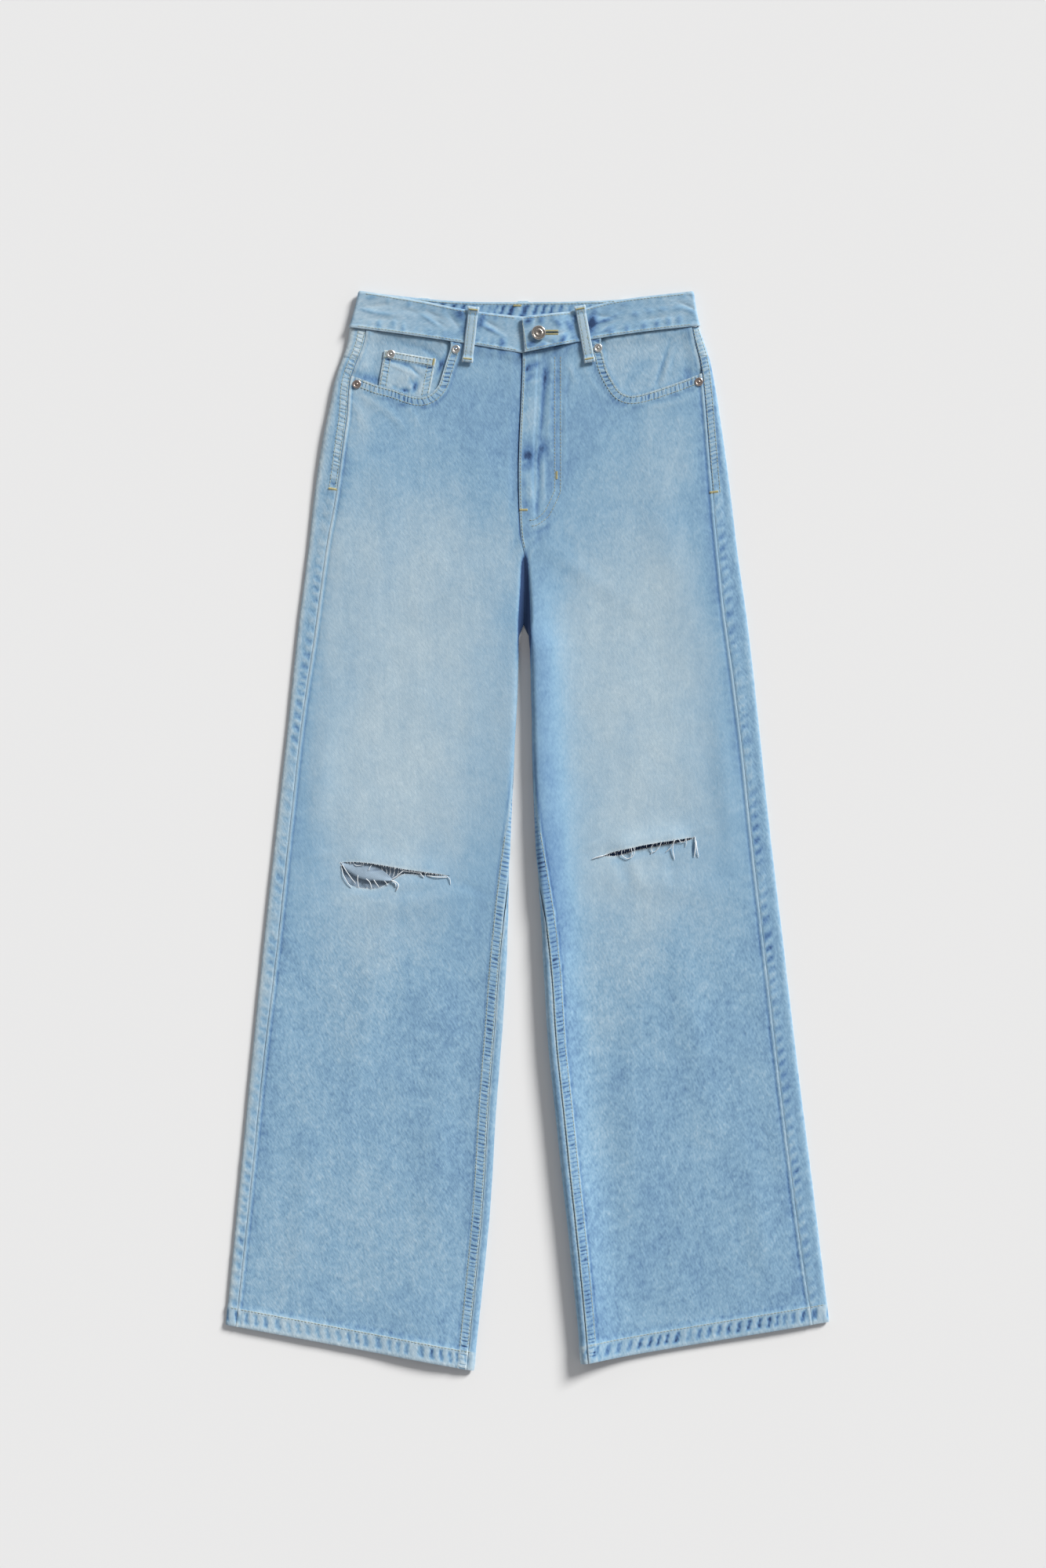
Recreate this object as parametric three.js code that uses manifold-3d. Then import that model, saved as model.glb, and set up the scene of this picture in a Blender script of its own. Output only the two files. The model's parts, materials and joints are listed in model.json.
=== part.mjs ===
// Ripped wide-leg jeans laid flat with the front up: denim panels, waistband, pockets and metal trim.
// Millimetres, +Z up, +Y towards the waist, +X towards the wearer's left leg.
// The origin is on the surface that the jeans lie on, under the middle of the whole garment.
import * as THREE from 'three';
import { mergeVertices } from 'three/addons/utils/BufferGeometryUtils.js';
import Module from 'manifold-3d';

const wasm = await Module();
wasm.setup();

// Cloth and metal thicknesses.
const DENIM = 1.2;
const HEM = 2.0;
const BAND = 2.6;
const LOOP = 1.6;
const SEAM_GAP = 0.3;
const TURNING_GAP = 0.8;

// Heights of the middle of the cloth above the surface.
const HIP_TOP = 5.8;
const SHIN_TOP = 3.9;
const EDGE_TOP = 5.6;
const OUTER_TOP = 3.6;
const VALLEY = 2.3;
const FOLD_REACH = 4.4;
const FOLD_ARC = 5.6;
const FOLD_SOFT = 18;
const POCKET_LIFT = 1.5;
const LOOP_LIFT = 1.9;
const FLY_STEP = 0.6;
const FACING_DROP = 1.7;

// The length of a leg runs from 0 at the waist seam to 1 at the hem.
const YOKE_SIDE = 0.029;
const YOKE_CENTRE = 0.04;
const GAP_TIP = 0.1975;
const CROTCH = 0.267;
const LEGS_APART = 0.293;
const HEM_START = 0.981;
const CENTRE_BACK = -4.5;
const BACK_RISE = 0.0172;

const WAIST_INNER = 499;
const CENTRE_FRONT = [[538, -9.4], [518, -8], [498, -5.3], [454, -6.4], [409, -8.4], [377, -9.2],
  [344, -8.8], [311, -7.2], [295, -4.6], [289, -3.2], [263, -2.9], [240, -3.1], [215, -3.9]];

// Outlines are [height, x] pairs. Seams are [height, distance in from the fold] pairs.
const LEGS = {
  right: {
    toward: 1,
    waistOuter: 526,
    hemOuter: -517,
    hemInner: -565,
    bow: 1.2,
    innerTop: 4.6,
    innerSoft: 18,
    outer: [[564, -176], [550, -182], [526, -186], [508, -189], [475, -200.5], [442, -207.5], [409, -214.5],
      [360, -222], [295, -229.5], [213, -240], [114, -250.5], [16, -261.5], [-115, -276], [-247, -289.5],
      [-378, -302.5], [-520, -316]],
    inner: [[263, -5.5], [240, -6.8], [215, -8], [163, -9.6], [131, -11], [81, -13.7], [16, -17],
      [-33, -18.7], [-115, -20.8], [-197, -25], [-247, -28.9], [-296, -32.6], [-361, -36.3],
      [-411, -40], [-493, -48.5], [-565, -56.4]],
    outseam: [[526, 17], [475, 15], [426, 20.5], [360, 22], [295, 18], [213, 17.5], [114, 13.5],
      [16, 13.5], [-115, 14], [-247, 12], [-378, 11.5], [-520, 10]],
    scoop: [[-80.4, 512], [-80.4, 505], [-85.4, 489], [-88.8, 478], [-92.6, 466.5], [-100, 458],
      [-108, 454], [-117, 454], [-128, 457], [-140, 461.5], [-157, 466], [-174, 472.5], [-190, 478]],
    slit: [[-196, -33], [-183, -32.4], [-166, -34], [-144, -37.5], [-128, -40.5], [-105, -43.8],
      [-83, -47.4], [-92, -49.6], [-103, -48.4], [-115, -47], [-129, -46], [-134, -48.8], [-140, -53.5],
      [-146, -56.5], [-157, -60.3], [-170, -60.3], [-178.5, -58.3], [-186, -55], [-192, -45]],
  },
  left: {
    toward: -1,
    waistOuter: 527.5,
    hemOuter: -514,
    hemInner: -557,
    bow: 3.2,
    innerTop: 13.4,
    innerSoft: 26,
    outer: [[564, 173], [547, 176.5], [526, 180], [508, 186], [491, 191.3], [459, 197.5], [409, 205],
      [360, 211.8], [295, 219.5], [213, 231], [114, 242], [16, 252], [-115, 267.5], [-247, 283],
      [-378, 299.5], [-516, 316]],
    inner: [[263, -0.4], [240, 0.8], [215, 1.3], [163, 3], [131, 3.9], [81, 5.1], [16, 7.6], [-33, 10],
      [-96, 14.1], [-159, 17.4], [-222, 21], [-264, 25.3], [-306, 29.9], [-360, 35.5], [-411, 41.3],
      [-498, 50.5], [-557, 56]],
    outseam: [[527, 7], [508, 9], [475, 11], [432, 14], [360, 18], [284, 20], [229, 22], [153, 20.5],
      [59, 19], [-53, 19.5], [-200, 20], [-411, 20], [-516, 17]],
    scoop: [[77, 513], [77, 505], [79, 499], [83.3, 483], [90, 469.6], [97.5, 459.4], [107.5, 455.4],
      [121, 457.2], [140, 463], [159, 469.6], [176, 476], [190, 481]],
    slit: [[78, -26], [96, -21.2], [112, -17.4], [138, -11.4], [157, -9.2], [175, -6.4], [160, -12.2],
      [145, -15], [129, -19.6], [112, -24.2], [96, -26.6]],
  },
};

// Where the inseam lies on the ring, measured from the inner fold: plus is on the front, minus is underneath.
const INSEAM = [[215, -9], [160, -11], [60, -9], [10, -5], [-40, 0.5], [-100, 6], [-160, 9], [-300, 9.5],
  [-450, 9], [-570, 8]];

// Soft folds pressed into the front: [x, y, direction in degrees, half length, half width, height].
const FOLDS = [
  [-150, 300, 82, 90, 18, 0.7], [150, 290, 100, 90, 18, 0.7], [-60, 268, 35, 55, 10, 0.6],
  [58, 270, 145, 55, 10, 0.6], [-215, 60, 84, 80, 12, 0.9], [205, 60, 97, 80, 12, 0.9],
  [-120, -75, 8, 70, 14, 0.9], [130, -55, 172, 70, 14, 0.8], [-170, -200, 78, 95, 16, 1.0],
  [175, -210, 102, 95, 16, 1.0], [-95, -330, 88, 110, 18, 0.9], [110, -340, 90, 110, 18, 0.9],
  [-235, -400, 82, 80, 14, 0.8], [240, -400, 98, 80, 14, 0.8],
];

// Where the leg openings stand a little open, in the same terms.
const HEM_PUFFS = [[-100, -545, 80, 90, 45, 2.4], [85, -545, 100, 90, 40, 1.8],
  [262, -520, 98, 60, 30, 0.6]];

// A smooth value between hand-set pairs that are ordered by their first number.
function along(pairs, at) {
  const rising = pairs[0][0] < pairs[pairs.length - 1][0];
  const list = rising ? pairs : [...pairs].reverse();
  const last = list.length - 2;
  let k = 0;
  while (k < last && at > list[k + 1][0]) k += 1;
  const [x0, y0] = list[k];
  const [x1, y1] = list[k + 1];
  const slope = (a, b) => (list[b][1] - list[a][1]) / (list[b][0] - list[a][0]);
  const width = x1 - x0;
  const start = slope(Math.max(k - 1, 0), k + 1) * width;
  const end = slope(k, Math.min(k + 2, last + 1)) * width;
  const t = (at - x0) / width;
  if (t < 0) return y0 + start * t;
  if (t > 1) return y1 + end * (t - 1);
  const rise = y1 - y0;
  return y0 + start * t + (3 * rise - 2 * start - end) * t * t + (start + end - 2 * rise) * t * t * t;
}

const mix = (a, b, t) => a + (b - a) * t;
const soft = (low, high, at) => THREE.MathUtils.smoothstep(at, low, high);

// One row across a leg, from its outer fold to the centre line or the inner fold.
function rowAt(leg, v) {
  const outerY = mix(leg.waistOuter, leg.hemOuter, v);
  const innerY = mix(WAIST_INNER, leg.hemInner, v);
  const outer = new THREE.Vector2(along(leg.outer, outerY) + leg.toward * DENIM / 2, outerY);
  const centre = along(CENTRE_FRONT, innerY);
  const fold = along(leg.inner, innerY) - leg.toward * DENIM / 2;
  const inner = new THREE.Vector2(v > CROTCH ? fold : centre, innerY);
  const width = outer.distanceTo(inner);
  return { leg, v, outer, inner, width, direction: inner.clone().sub(outer).divideScalar(width) };
}

function planPoint(row, inset) {
  const point = row.outer.clone().addScaledVector(row.direction, inset);
  const fade = Math.max(0, 1 - row.v / 0.15);
  point.y += row.leg.bow * fade * Math.sin(Math.PI * THREE.MathUtils.clamp(inset / row.width, 0, 1));
  return point;
}

const outseamInset = (row) => along(row.leg.outseam, row.outer.y);
const clothWall = (v) => (v >= HEM_START ? HEM : DENIM);
const backWaist = (share) => -BACK_RISE * share * share;
const yokeSeam = (share) => mix(YOKE_SIDE, YOKE_CENTRE, share);

function foldHeight(folds, x, y) {
  let height = 0;
  for (const [fx, fy, degrees, halfLength, halfWidth, rise] of folds) {
    const angle = THREE.MathUtils.degToRad(degrees);
    const lengthwise = (x - fx) * Math.cos(angle) + (y - fy) * Math.sin(angle);
    const across = (y - fy) * Math.cos(angle) - (x - fx) * Math.sin(angle);
    height += rise * Math.exp(-((lengthwise / halfLength) ** 2) - (across / halfWidth) ** 2);
  }
  return height;
}

// The middle of the front layer and of the back layer at one place across a row.
function topHeight(row, inset) {
  const middle = mix(HIP_TOP, SHIN_TOP, soft(0.12, 0.4, row.v));
  const atSide = mix(EDGE_TOP, OUTER_TOP, soft(0.09, 0.2, row.v));
  const outerFold = Math.exp(-(((inset - FOLD_REACH) / FOLD_SOFT) ** 2));
  const onLeg = soft(0.2, 0.3, row.v);
  const innerFold = onLeg * Math.exp(-(((row.width - inset - FOLD_REACH) / row.leg.innerSoft) ** 2));
  const point = planPoint(row, inset);
  const clear = Math.max(0, 1 - outerFold - innerFold);
  const folds = foldHeight(FOLDS, point.x, point.y) * (1 - soft(0.9, HEM_START, row.v));
  const puffs = (folds + foldHeight(HEM_PUFFS, point.x, point.y)) * clear;
  const edges = (atSide - middle) * outerFold + (row.leg.innerTop - middle) * innerFold;
  return middle + edges + puffs;
}

function bottomHeight(row, inset) {
  const share = inset / row.width;
  const clearOfSide = soft(8, 32, inset);
  const clearOfCentre = row.v < CROTCH ? THREE.MathUtils.clamp((row.width - inset) / 22, 0, 1) : 1;
  const overPocket = soft(YOKE_SIDE, 0.06, row.v) * (1 - soft(0.245, CROTCH, row.v));
  const underBand = 1 - soft(0.017, 0.034, row.v - backWaist(share));
  const lift = POCKET_LIFT * overPocket * clearOfCentre + LOOP_LIFT * underBand;
  return clothWall(row.v) / 2 + lift * clearOfSide;
}

// A point on the flattened tube of a leg. The arc runs from a fold: plus on the front, minus underneath.
function ringPoint(row, fromInner, arc) {
  const turn = THREE.MathUtils.clamp(arc / FOLD_ARC, -1, 1) * Math.PI / 2;
  const past = Math.max(0, Math.abs(arc) - FOLD_ARC);
  const inset = FOLD_REACH * (1 - Math.cos(turn)) + past;
  const place = fromInner ? row.width - inset : inset;
  const point = planPoint(row, place);
  const top = topHeight(row, place);
  const bottom = bottomHeight(row, place);
  return new THREE.Vector3(point.x, point.y, (top + bottom) / 2 + Math.sin(turn) * (top - bottom) / 2);
}

const arcOfInset = (inset) => inset - FOLD_REACH + FOLD_ARC;

// The front near the centre line: flat at the fly, then sinking into the cleft between the legs.
function centrePoint(row, inFromCentre) {
  const place = row.width - inFromCentre;
  const point = planPoint(row, place);
  const halfGap = Math.abs(along(row.leg.inner, row.inner.y) - row.inner.x);
  const depth = soft(GAP_TIP - 0.022, GAP_TIP + 0.024, row.v) * (topHeight(row, place) - VALLEY);
  const sink = depth * (1 - soft(0, halfGap + 6, inFromCentre));
  const reach = row.leg.toward > 0 ? [2, 12] : [30, 44];
  const onFly = 1 - soft(0.13, GAP_TIP, row.v);
  const step = -row.leg.toward * FLY_STEP * (1 - soft(...reach, inFromCentre)) * onFly;
  return new THREE.Vector3(point.x, point.y, topHeight(row, place) - sink + step);
}

// A closed wall around a grid of middle points. One column or row past each edge gives the edge its slope.
function clothWallGeometry(columns, rows, pointAt, wallAt) {
  const middle = [];
  for (let j = -1; j <= rows + 1; j += 1) {
    const line = [];
    for (let i = -1; i <= columns + 1; i += 1) line.push(pointAt(i, THREE.MathUtils.clamp(j, 0, rows)));
    middle.push(line);
  }
  const positions = [];
  const index = [];
  const across = new THREE.Vector3();
  const down = new THREE.Vector3();
  for (let j = 1; j <= rows + 1; j += 1) {
    for (let i = 1; i <= columns + 1; i += 1) {
      across.subVectors(middle[j][i + 1], middle[j][i - 1]);
      down.subVectors(middle[j + 1][i], middle[j - 1][i]);
      const half = across.cross(down).normalize().multiplyScalar(wallAt(j - 1) / 2);
      const here = middle[j][i];
      positions.push(here.x + half.x, here.y + half.y, here.z + half.z);
      positions.push(here.x - half.x, here.y - half.y, here.z - half.z);
    }
  }
  const at = (i, j, side) => 2 * (j * (columns + 1) + i) + side;
  const quad = (a, b, c, d) => index.push(a, b, c, a, c, d);
  for (let j = 0; j < rows; j += 1) {
    for (let i = 0; i < columns; i += 1) {
      quad(at(i, j, 0), at(i + 1, j, 0), at(i + 1, j + 1, 0), at(i, j + 1, 0));
      quad(at(i, j, 1), at(i, j + 1, 1), at(i + 1, j + 1, 1), at(i + 1, j, 1));
    }
  }
  for (let i = 0; i < columns; i += 1) {
    quad(at(i, 0, 0), at(i, 0, 1), at(i + 1, 0, 1), at(i + 1, 0, 0));
    quad(at(i, rows, 0), at(i + 1, rows, 0), at(i + 1, rows, 1), at(i, rows, 1));
  }
  for (let j = 0; j < rows; j += 1) {
    quad(at(0, j, 0), at(0, j + 1, 0), at(0, j + 1, 1), at(0, j, 1));
    quad(at(columns, j, 0), at(columns, j, 1), at(columns, j + 1, 1), at(columns, j + 1, 0));
  }
  return facingOut(positions, index);
}

function facingOut(positions, index) {
  const corner = (k) => new THREE.Vector3().fromArray(positions, 3 * k);
  let volume = 0;
  for (let k = 0; k < index.length; k += 3) {
    volume += corner(index[k]).dot(corner(index[k + 1]).cross(corner(index[k + 2])));
  }
  const ordered = volume > 0 ? index : [...index].reverse();
  const geometry = new THREE.BufferGeometry();
  geometry.setAttribute('position', new THREE.Float32BufferAttribute(positions, 3));
  geometry.setIndex(ordered);
  return geometry;
}

function plate(outline, low, high) {
  const shape = new THREE.Shape(outline.map(([x, y]) => new THREE.Vector2(x, y)));
  const settings = { depth: high - low, bevelEnabled: false, curveSegments: 4 };
  const geometry = new THREE.ExtrudeGeometry(shape, settings);
  return geometry.translate(0, 0, low);
}

function solidOf(geometry) {
  const bare = geometry.clone();
  bare.deleteAttribute('normal');
  bare.deleteAttribute('uv');
  const merged = mergeVertices(bare, 1e-4);
  return new wasm.Manifold(new wasm.Mesh({
    numProp: 3,
    vertProperties: new Float32Array(merged.attributes.position.array),
    triVerts: new Uint32Array(merged.index.array),
  }));
}

function cut(geometry, ...tools) {
  const rest = tools.reduce((solid, tool) => solid.subtract(solidOf(tool)), solidOf(geometry));
  const mesh = rest.getMesh();
  const result = new THREE.BufferGeometry();
  result.setAttribute('position', new THREE.BufferAttribute(mesh.vertProperties, 3));
  result.setIndex(new THREE.BufferAttribute(mesh.triVerts, 1));
  return result;
}

const smoothLine = (points, pieces) => {
  const curve = new THREE.CatmullRomCurve3(points.map(([x, y]) => new THREE.Vector3(x, y, 0)));
  return curve.getPoints(pieces).map((point) => [point.x, point.y]);
};

// Rows shared by the panels that meet at a side seam or an inseam.
const ROWS = [0, 0.0145, YOKE_SIDE, 0.06, 0.09, 0.13, GAP_TIP - 0.022, GAP_TIP + 0.002, 0.222, 0.245, CROTCH,
  LEGS_APART, 0.33, 0.385, 0.44, 0.47, 0.495, 0.515, 0.535, 0.56, 0.6, 0.67, 0.74, 0.81, 0.88, 0.94,
  HEM_START, 1];
const YOKE_ROW = ROWS.indexOf(YOKE_SIDE);

// The share of the way from the inseam or centre line (0) to a line on the flat of the front (1).
const INNER_STEPS = [0, 0.14, 0.3, 0.5, 1];
const INNER_FLAT = 16;

// How far past a panel's edge the extra column lies that gives the edge its slope.
const BEYOND_EDGE = 3;

// The inseam and half of its gap, which opens a little where the seam turns round the fold.
function inseam(row) {
  const arc = along(INSEAM, row.inner.y);
  return { arc, half: (SEAM_GAP + TURNING_GAP * Math.exp(-((arc / (1.9 * FOLD_ARC)) ** 2))) / 2 };
}

function frontInner(row, share, beyond) {
  if (row.v <= CROTCH) {
    return centrePoint(row, SEAM_GAP / 2 + mix(0, INNER_FLAT, share) - beyond);
  }
  const { arc, half } = inseam(row);
  return ringPoint(row, true, mix(arc + half, INNER_FLAT, share) - beyond);
}

function frontPanel(leg) {
  const flats = 9;
  const columns = flats + INNER_STEPS.length - 1;
  const pointAt = (i, j) => {
    const row = rowAt(leg, ROWS[j]);
    if (i > columns) return frontInner(row, 0, 2);
    if (i >= flats) return frontInner(row, INNER_STEPS[columns - i], 0);
    const from = outseamInset(row) + SEAM_GAP / 2;
    const to = row.width - INNER_FLAT;
    const place = mix(from, to, i / flats);
    return ringPoint(row, false, arcOfInset(i < 0 ? from - BEYOND_EDGE : place));
  };
  return clothWallGeometry(columns, ROWS.length - 1, pointAt, (j) => clothWall(ROWS[j]));
}

// Columns of a back panel: round the outer fold, flat underneath, then to the centre back or the inseam.
const WRAP_STEPS = [1, 0.5, 0, -0.5, -1];

function backPoint(leg, column, v, share) {
  const row = rowAt(leg, v);
  const seam = arcOfInset(outseamInset(row)) - SEAM_GAP / 2;
  if (column < 0) return ringPoint(row, false, seam + BEYOND_EDGE);
  if (column === 0) return ringPoint(row, false, seam);
  if (column <= WRAP_STEPS.length) return ringPoint(row, false, FOLD_ARC * WRAP_STEPS[column - 1]);
  const place = mix(FOLD_REACH, row.width, share);
  if (v <= CROTCH) {
    const centre = Math.abs(CENTRE_BACK - row.outer.x) / Math.abs(row.direction.x) - SEAM_GAP / 2;
    const inset = share >= 1 ? centre + (share - 1) * 60 : Math.min(place, centre);
    return ringPoint(row, false, -arcOfInset(inset));
  }
  const { arc, half } = inseam(row);
  const end = arc - half;
  const closing = (share - CLOSING) / (1 - CLOSING);
  if (closing < 0) return ringPoint(row, false, -arcOfInset(place));
  return ringPoint(row, true, mix(-arcOfInset((1 - CLOSING) * (row.width - FOLD_REACH)), end, closing));
}

const CLOSING = 0.88;
const BACK_SHARES = [0.12, 0.3, 0.5, 0.7, CLOSING, 0.96, 1, 1.03];
const backColumns = WRAP_STEPS.length + BACK_SHARES.length - 1;

function backShare(column) {
  return column <= WRAP_STEPS.length ? 0 : BACK_SHARES[column - WRAP_STEPS.length - 1];
}

function backPanel(leg) {
  const rows = ROWS.slice(YOKE_ROW);
  const pointAt = (i, j) => {
    const fade = Math.max(0, 1 - (rows[j] - YOKE_SIDE) / (CROTCH - YOKE_SIDE));
    const share = backShare(i);
    const shift = (yokeSeam(share) - YOKE_SIDE) * fade;
    const atSeam = j === 0 ? SEAM_GAP / 2000 : 0;
    return backPoint(leg, i, rows[j] + shift + atSeam, share);
  };
  return clothWallGeometry(backColumns, rows.length - 1, pointAt, (j) => clothWall(rows[j]));
}

function yokePanel(leg) {
  const steps = [0, 0.36, 0.68, 1];
  const pointAt = (i, j) => {
    const share = backShare(i);
    const atSeam = j === steps.length - 1 ? -SEAM_GAP / 2000 : 0;
    return backPoint(leg, i, mix(backWaist(share), yokeSeam(share), steps[j]) + atSeam, share);
  };
  return clothWallGeometry(backColumns, steps.length - 1, pointAt, () => DENIM);
}

// The waistband: one strip from the hidden right end, round the back, to the left end that lies on top.
const BAND_BACK = 3.2;
const BAND_FRONT = 6.6;
const BAND_UNDER = 6.3;
const BAND_OVER = 9.6;
const BAND_FOLD = (BAND_FRONT - BAND_BACK) / 2;
const UNDERLAP = 28;
const FRONT_TOP = [[-176, 565], [-112, 554.5], [-63, 544.7], [-8, 538], [-1, 538], [49, 544],
  [92, 554.5], [173, 564.4]];
const BACK_TOP = [[-176, 565], [-133, 559.4], [-68, 553.8], [-4.5, 553.3], [55, 554], [112, 557],
  [173, 564.4]];
const LEAN = [[-186, 10], [-125, 8], [-62, 6], [-5, -3], [30, -4], [62, -7], [180, -6.6]];
const BACK_LEAN = [[-186, 10], [-5, 0], [180, -6.6]];

function waistSeam(x, isBack) {
  const leg = x < CENTRE_BACK ? LEGS.right : LEGS.left;
  let row = rowAt(leg, 0);
  const inset = Math.abs(x - row.outer.x) / Math.abs(row.direction.x);
  const share = (inset - FOLD_REACH) / (row.width - FOLD_REACH);
  if (isBack) row = rowAt(leg, backWaist(THREE.MathUtils.clamp(share, 0, 1)));
  return planPoint(row, inset).y + (isBack ? 3 * SEAM_GAP : 1.5 * SEAM_GAP);
}

function waistband() {
  const stations = [];
  const front = (x, height) => stations.push({ x, isBack: false, height });
  const back = (x) => stations.push({ x, isBack: true, height: BAND_BACK });
  const rightFold = rowAt(LEGS.right, 0).outer.x + BAND_FOLD;
  const leftFold = rowAt(LEGS.left, 0).outer.x - BAND_FOLD;
  const fold = (x, side, turnTo) => {
    for (const degrees of [45, 0, -45]) {
      const turn = THREE.MathUtils.degToRad(degrees * turnTo);
      stations.push({
        x,
        out: side * BAND_FOLD * Math.cos(turn),
        isBack: false,
        height: (BAND_FRONT + BAND_BACK) / 2 + BAND_FOLD * Math.sin(turn),
      });
    }
  };
  for (const x of [UNDERLAP, 12, -4]) front(x, BAND_UNDER);
  for (const x of [-24, -50, -80, -110, -140, -165, rightFold]) front(x, BAND_FRONT);
  fold(rightFold, -1, 1);
  for (const x of [rightFold, -140, -95, -50, CENTRE_BACK, 45, 90, 135, leftFold]) back(x);
  fold(leftFold, 1, -1);
  for (const x of [leftFold, 155, 130, 100, 75, 52]) front(x, BAND_FRONT);
  for (const x of [34, 14, 0, -3]) front(x, BAND_OVER);

  const pointAt = (i, j) => {
    const { x, out = 0, isBack, height } = stations[THREE.MathUtils.clamp(i, 0, stations.length - 1)];
    const low = new THREE.Vector3(x + out, waistSeam(x, isBack), height);
    const highX = x + along(isBack ? BACK_LEAN : LEAN, x);
    const high = new THREE.Vector3(highX + out, along(isBack ? BACK_TOP : FRONT_TOP, highX), height);
    return low.lerp(high, j / 2);
  };
  return clothWallGeometry(stations.length - 1, 2, pointAt, () => BAND);
}

// A keyhole in the left end of the band: an eyelet round the button's shank and a slit beside it.
const BUTTON = { x: 11.7, y: 520, bed: 7.9, shank: 2.1, neck: 11.3, radius: 7.6, rim: 13.3, crown: 14.4 };

function buttonhole() {
  const eyelet = new THREE.CylinderGeometry(2.7, 2.7, 6, 16).rotateX(Math.PI / 2);
  const slit = new THREE.BoxGeometry(20, 1.4, 6).translate(11.5, 0.6, 0);
  return [eyelet, slit].map((tool) => tool.translate(BUTTON.x, BUTTON.y, BAND_OVER + 1));
}

function button() {
  const profile = [[0, BUTTON.bed], [BUTTON.shank, BUTTON.bed], [BUTTON.shank, BUTTON.neck],
    [BUTTON.radius - 0.7, BUTTON.neck], [BUTTON.radius, BUTTON.neck + 0.7], [BUTTON.radius, BUTTON.rim],
    [BUTTON.radius - 1, BUTTON.crown], [BUTTON.radius - 2.4, BUTTON.crown - 0.2],
    [BUTTON.radius - 3.6, BUTTON.crown - 1.1], [0, BUTTON.crown - 1.3]];
  return turned(profile, 24).translate(BUTTON.x, BUTTON.y, 0);
}

function turned(profile, pieces) {
  const points = profile.map(([radius, height]) => new THREE.Vector2(radius, height));
  return new THREE.LatheGeometry(points, pieces).rotateX(Math.PI / 2);
}

// Burr rivets: a low ring with a nipple, standing on the cloth at each pocket corner.
const RIVET_RADIUS = 4.6;
const RIVETS = [
  ['rivet_coin_pocket', -143, 498.6, 6.5], ['rivet_pocket_right_top', -75, 503.6, 6.7],
  ['rivet_pocket_left_top', 73.8, 505, 6.7], ['rivet_pocket_right_side', -178.5, 467, 6.7],
  ['rivet_pocket_left_side', 179.2, 469.5, 6.7],
];

function rivet(x, y, height) {
  const r = RIVET_RADIUS;
  const ring = [[0, 0], [r, 0], [r, 0.5], [r - 0.9, 1.2], [r - 2, 1.2], [r - 3, 0.6]];
  const nipple = [[1.2, 0.6], [0.9, 1.4], [0, 1.6]];
  return turned([...ring, ...nipple], 12).translate(x, y, height);
}

// A strip that runs from one point to another, bowed up in the middle.
function strip(from, to, halfWidth, wall, bow, pieces) {
  const start = new THREE.Vector3(...from);
  const end = new THREE.Vector3(...to);
  const sideways = new THREE.Vector3(start.y - end.y, end.x - start.x, 0).normalize();
  const pointAt = (i, j) => {
    const t = j / pieces;
    const point = start.clone().lerp(end, t).addScaledVector(sideways, (i * 2 - 1) * halfWidth);
    point.z += bow * Math.sin(Math.PI * t);
    return point;
  };
  return clothWallGeometry(1, pieces, pointAt, () => wall);
}

const HALF_LOOP = 5;
const LOOP_OVER_BAND = BAND_FRONT + BAND / 2 + SEAM_GAP + LOOP / 2 + 0.1;
const LOOP_OVER_DENIM = LOOP_OVER_BAND - 0.6;
const LOOPS = [
  ['belt_loop_front_right', [-56.2, 547, LOOP_OVER_BAND], [-62.9, 490, LOOP_OVER_DENIM], 0.5],
  ['belt_loop_front_left', [54.6, 548, LOOP_OVER_BAND], [65.3, 490, LOOP_OVER_DENIM], 0.5],
  ['belt_loop_back_right', [-108, 558, LOOP / 2], [-112, 506.5, LOOP / 2], 0],
  ['belt_loop_back_left', [103, 557, LOOP / 2], [107, 508, LOOP / 2], 0],
  ['belt_loop_back_centre', [-4.5, 555, LOOP / 2], [-4.5, 502, LOOP / 2], 0],
];

// The denim that shows inside each front pocket, sewn into the waist seam and the side seam.
const FACING_END = 62;
const FACING_ROWS = [0, 0.0145, YOKE_SIDE, 0.06, 0.09];

function pocketFacing(leg) {
  const columns = 5;
  const pointAt = (i, j) => {
    const row = rowAt(leg, FACING_ROWS[j]);
    const from = outseamInset(row) + SEAM_GAP / 2;
    const place = mix(from, row.width - FACING_END, i / columns);
    const point = ringPoint(row, false, arcOfInset(place));
    point.z = HIP_TOP - FACING_DROP;
    return point;
  };
  return clothWallGeometry(columns, FACING_ROWS.length - 1, pointAt, () => DENIM);
}

// The cut edge of a front pocket, closed round the corner of the panel that it takes away.
const PAST_HIP = 215;
const PAST_WAIST = 545;

function scoopOutline(leg, shiftX, shiftY) {
  const side = leg.toward;
  const edge = smoothLine(leg.scoop, 24).map(([x, y]) => [x - side * shiftX, y + shiftY]);
  const [endX, endY] = edge[edge.length - 1];
  return [...edge, [-side * PAST_HIP, endY + 4], [-side * PAST_HIP, PAST_WAIST], [edge[0][0], PAST_WAIST]];
}

function coinPocket() {
  const level = HIP_TOP - FACING_DROP + DENIM / 2 + SEAM_GAP;
  const patch = plate([[-149.5, 503], [-95.5, 493.5], [-104.5, 446], [-158, 452]], level, level + DENIM);
  const frame = plate([[-60, 530], [-60, 430], [-215, 430], [-215, 530]], level - 1, level + DENIM + 1);
  const beyondEdge = cut(frame, plate(scoopOutline(LEGS.right, 0.35, 0.35), level - 2, level + DENIM + 2));
  return cut(patch, beyondEdge);
}

const BACK_POCKET_CENTRE = 100;
const BACK_POCKET = [[-72, 423], [72, 439], [66, 300], [-3, 264], [-66, 286]];

function backPocket(centre, side) {
  return plate(BACK_POCKET.map(([x, y]) => [centre - side * x, y]), 0, DENIM);
}

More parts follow.
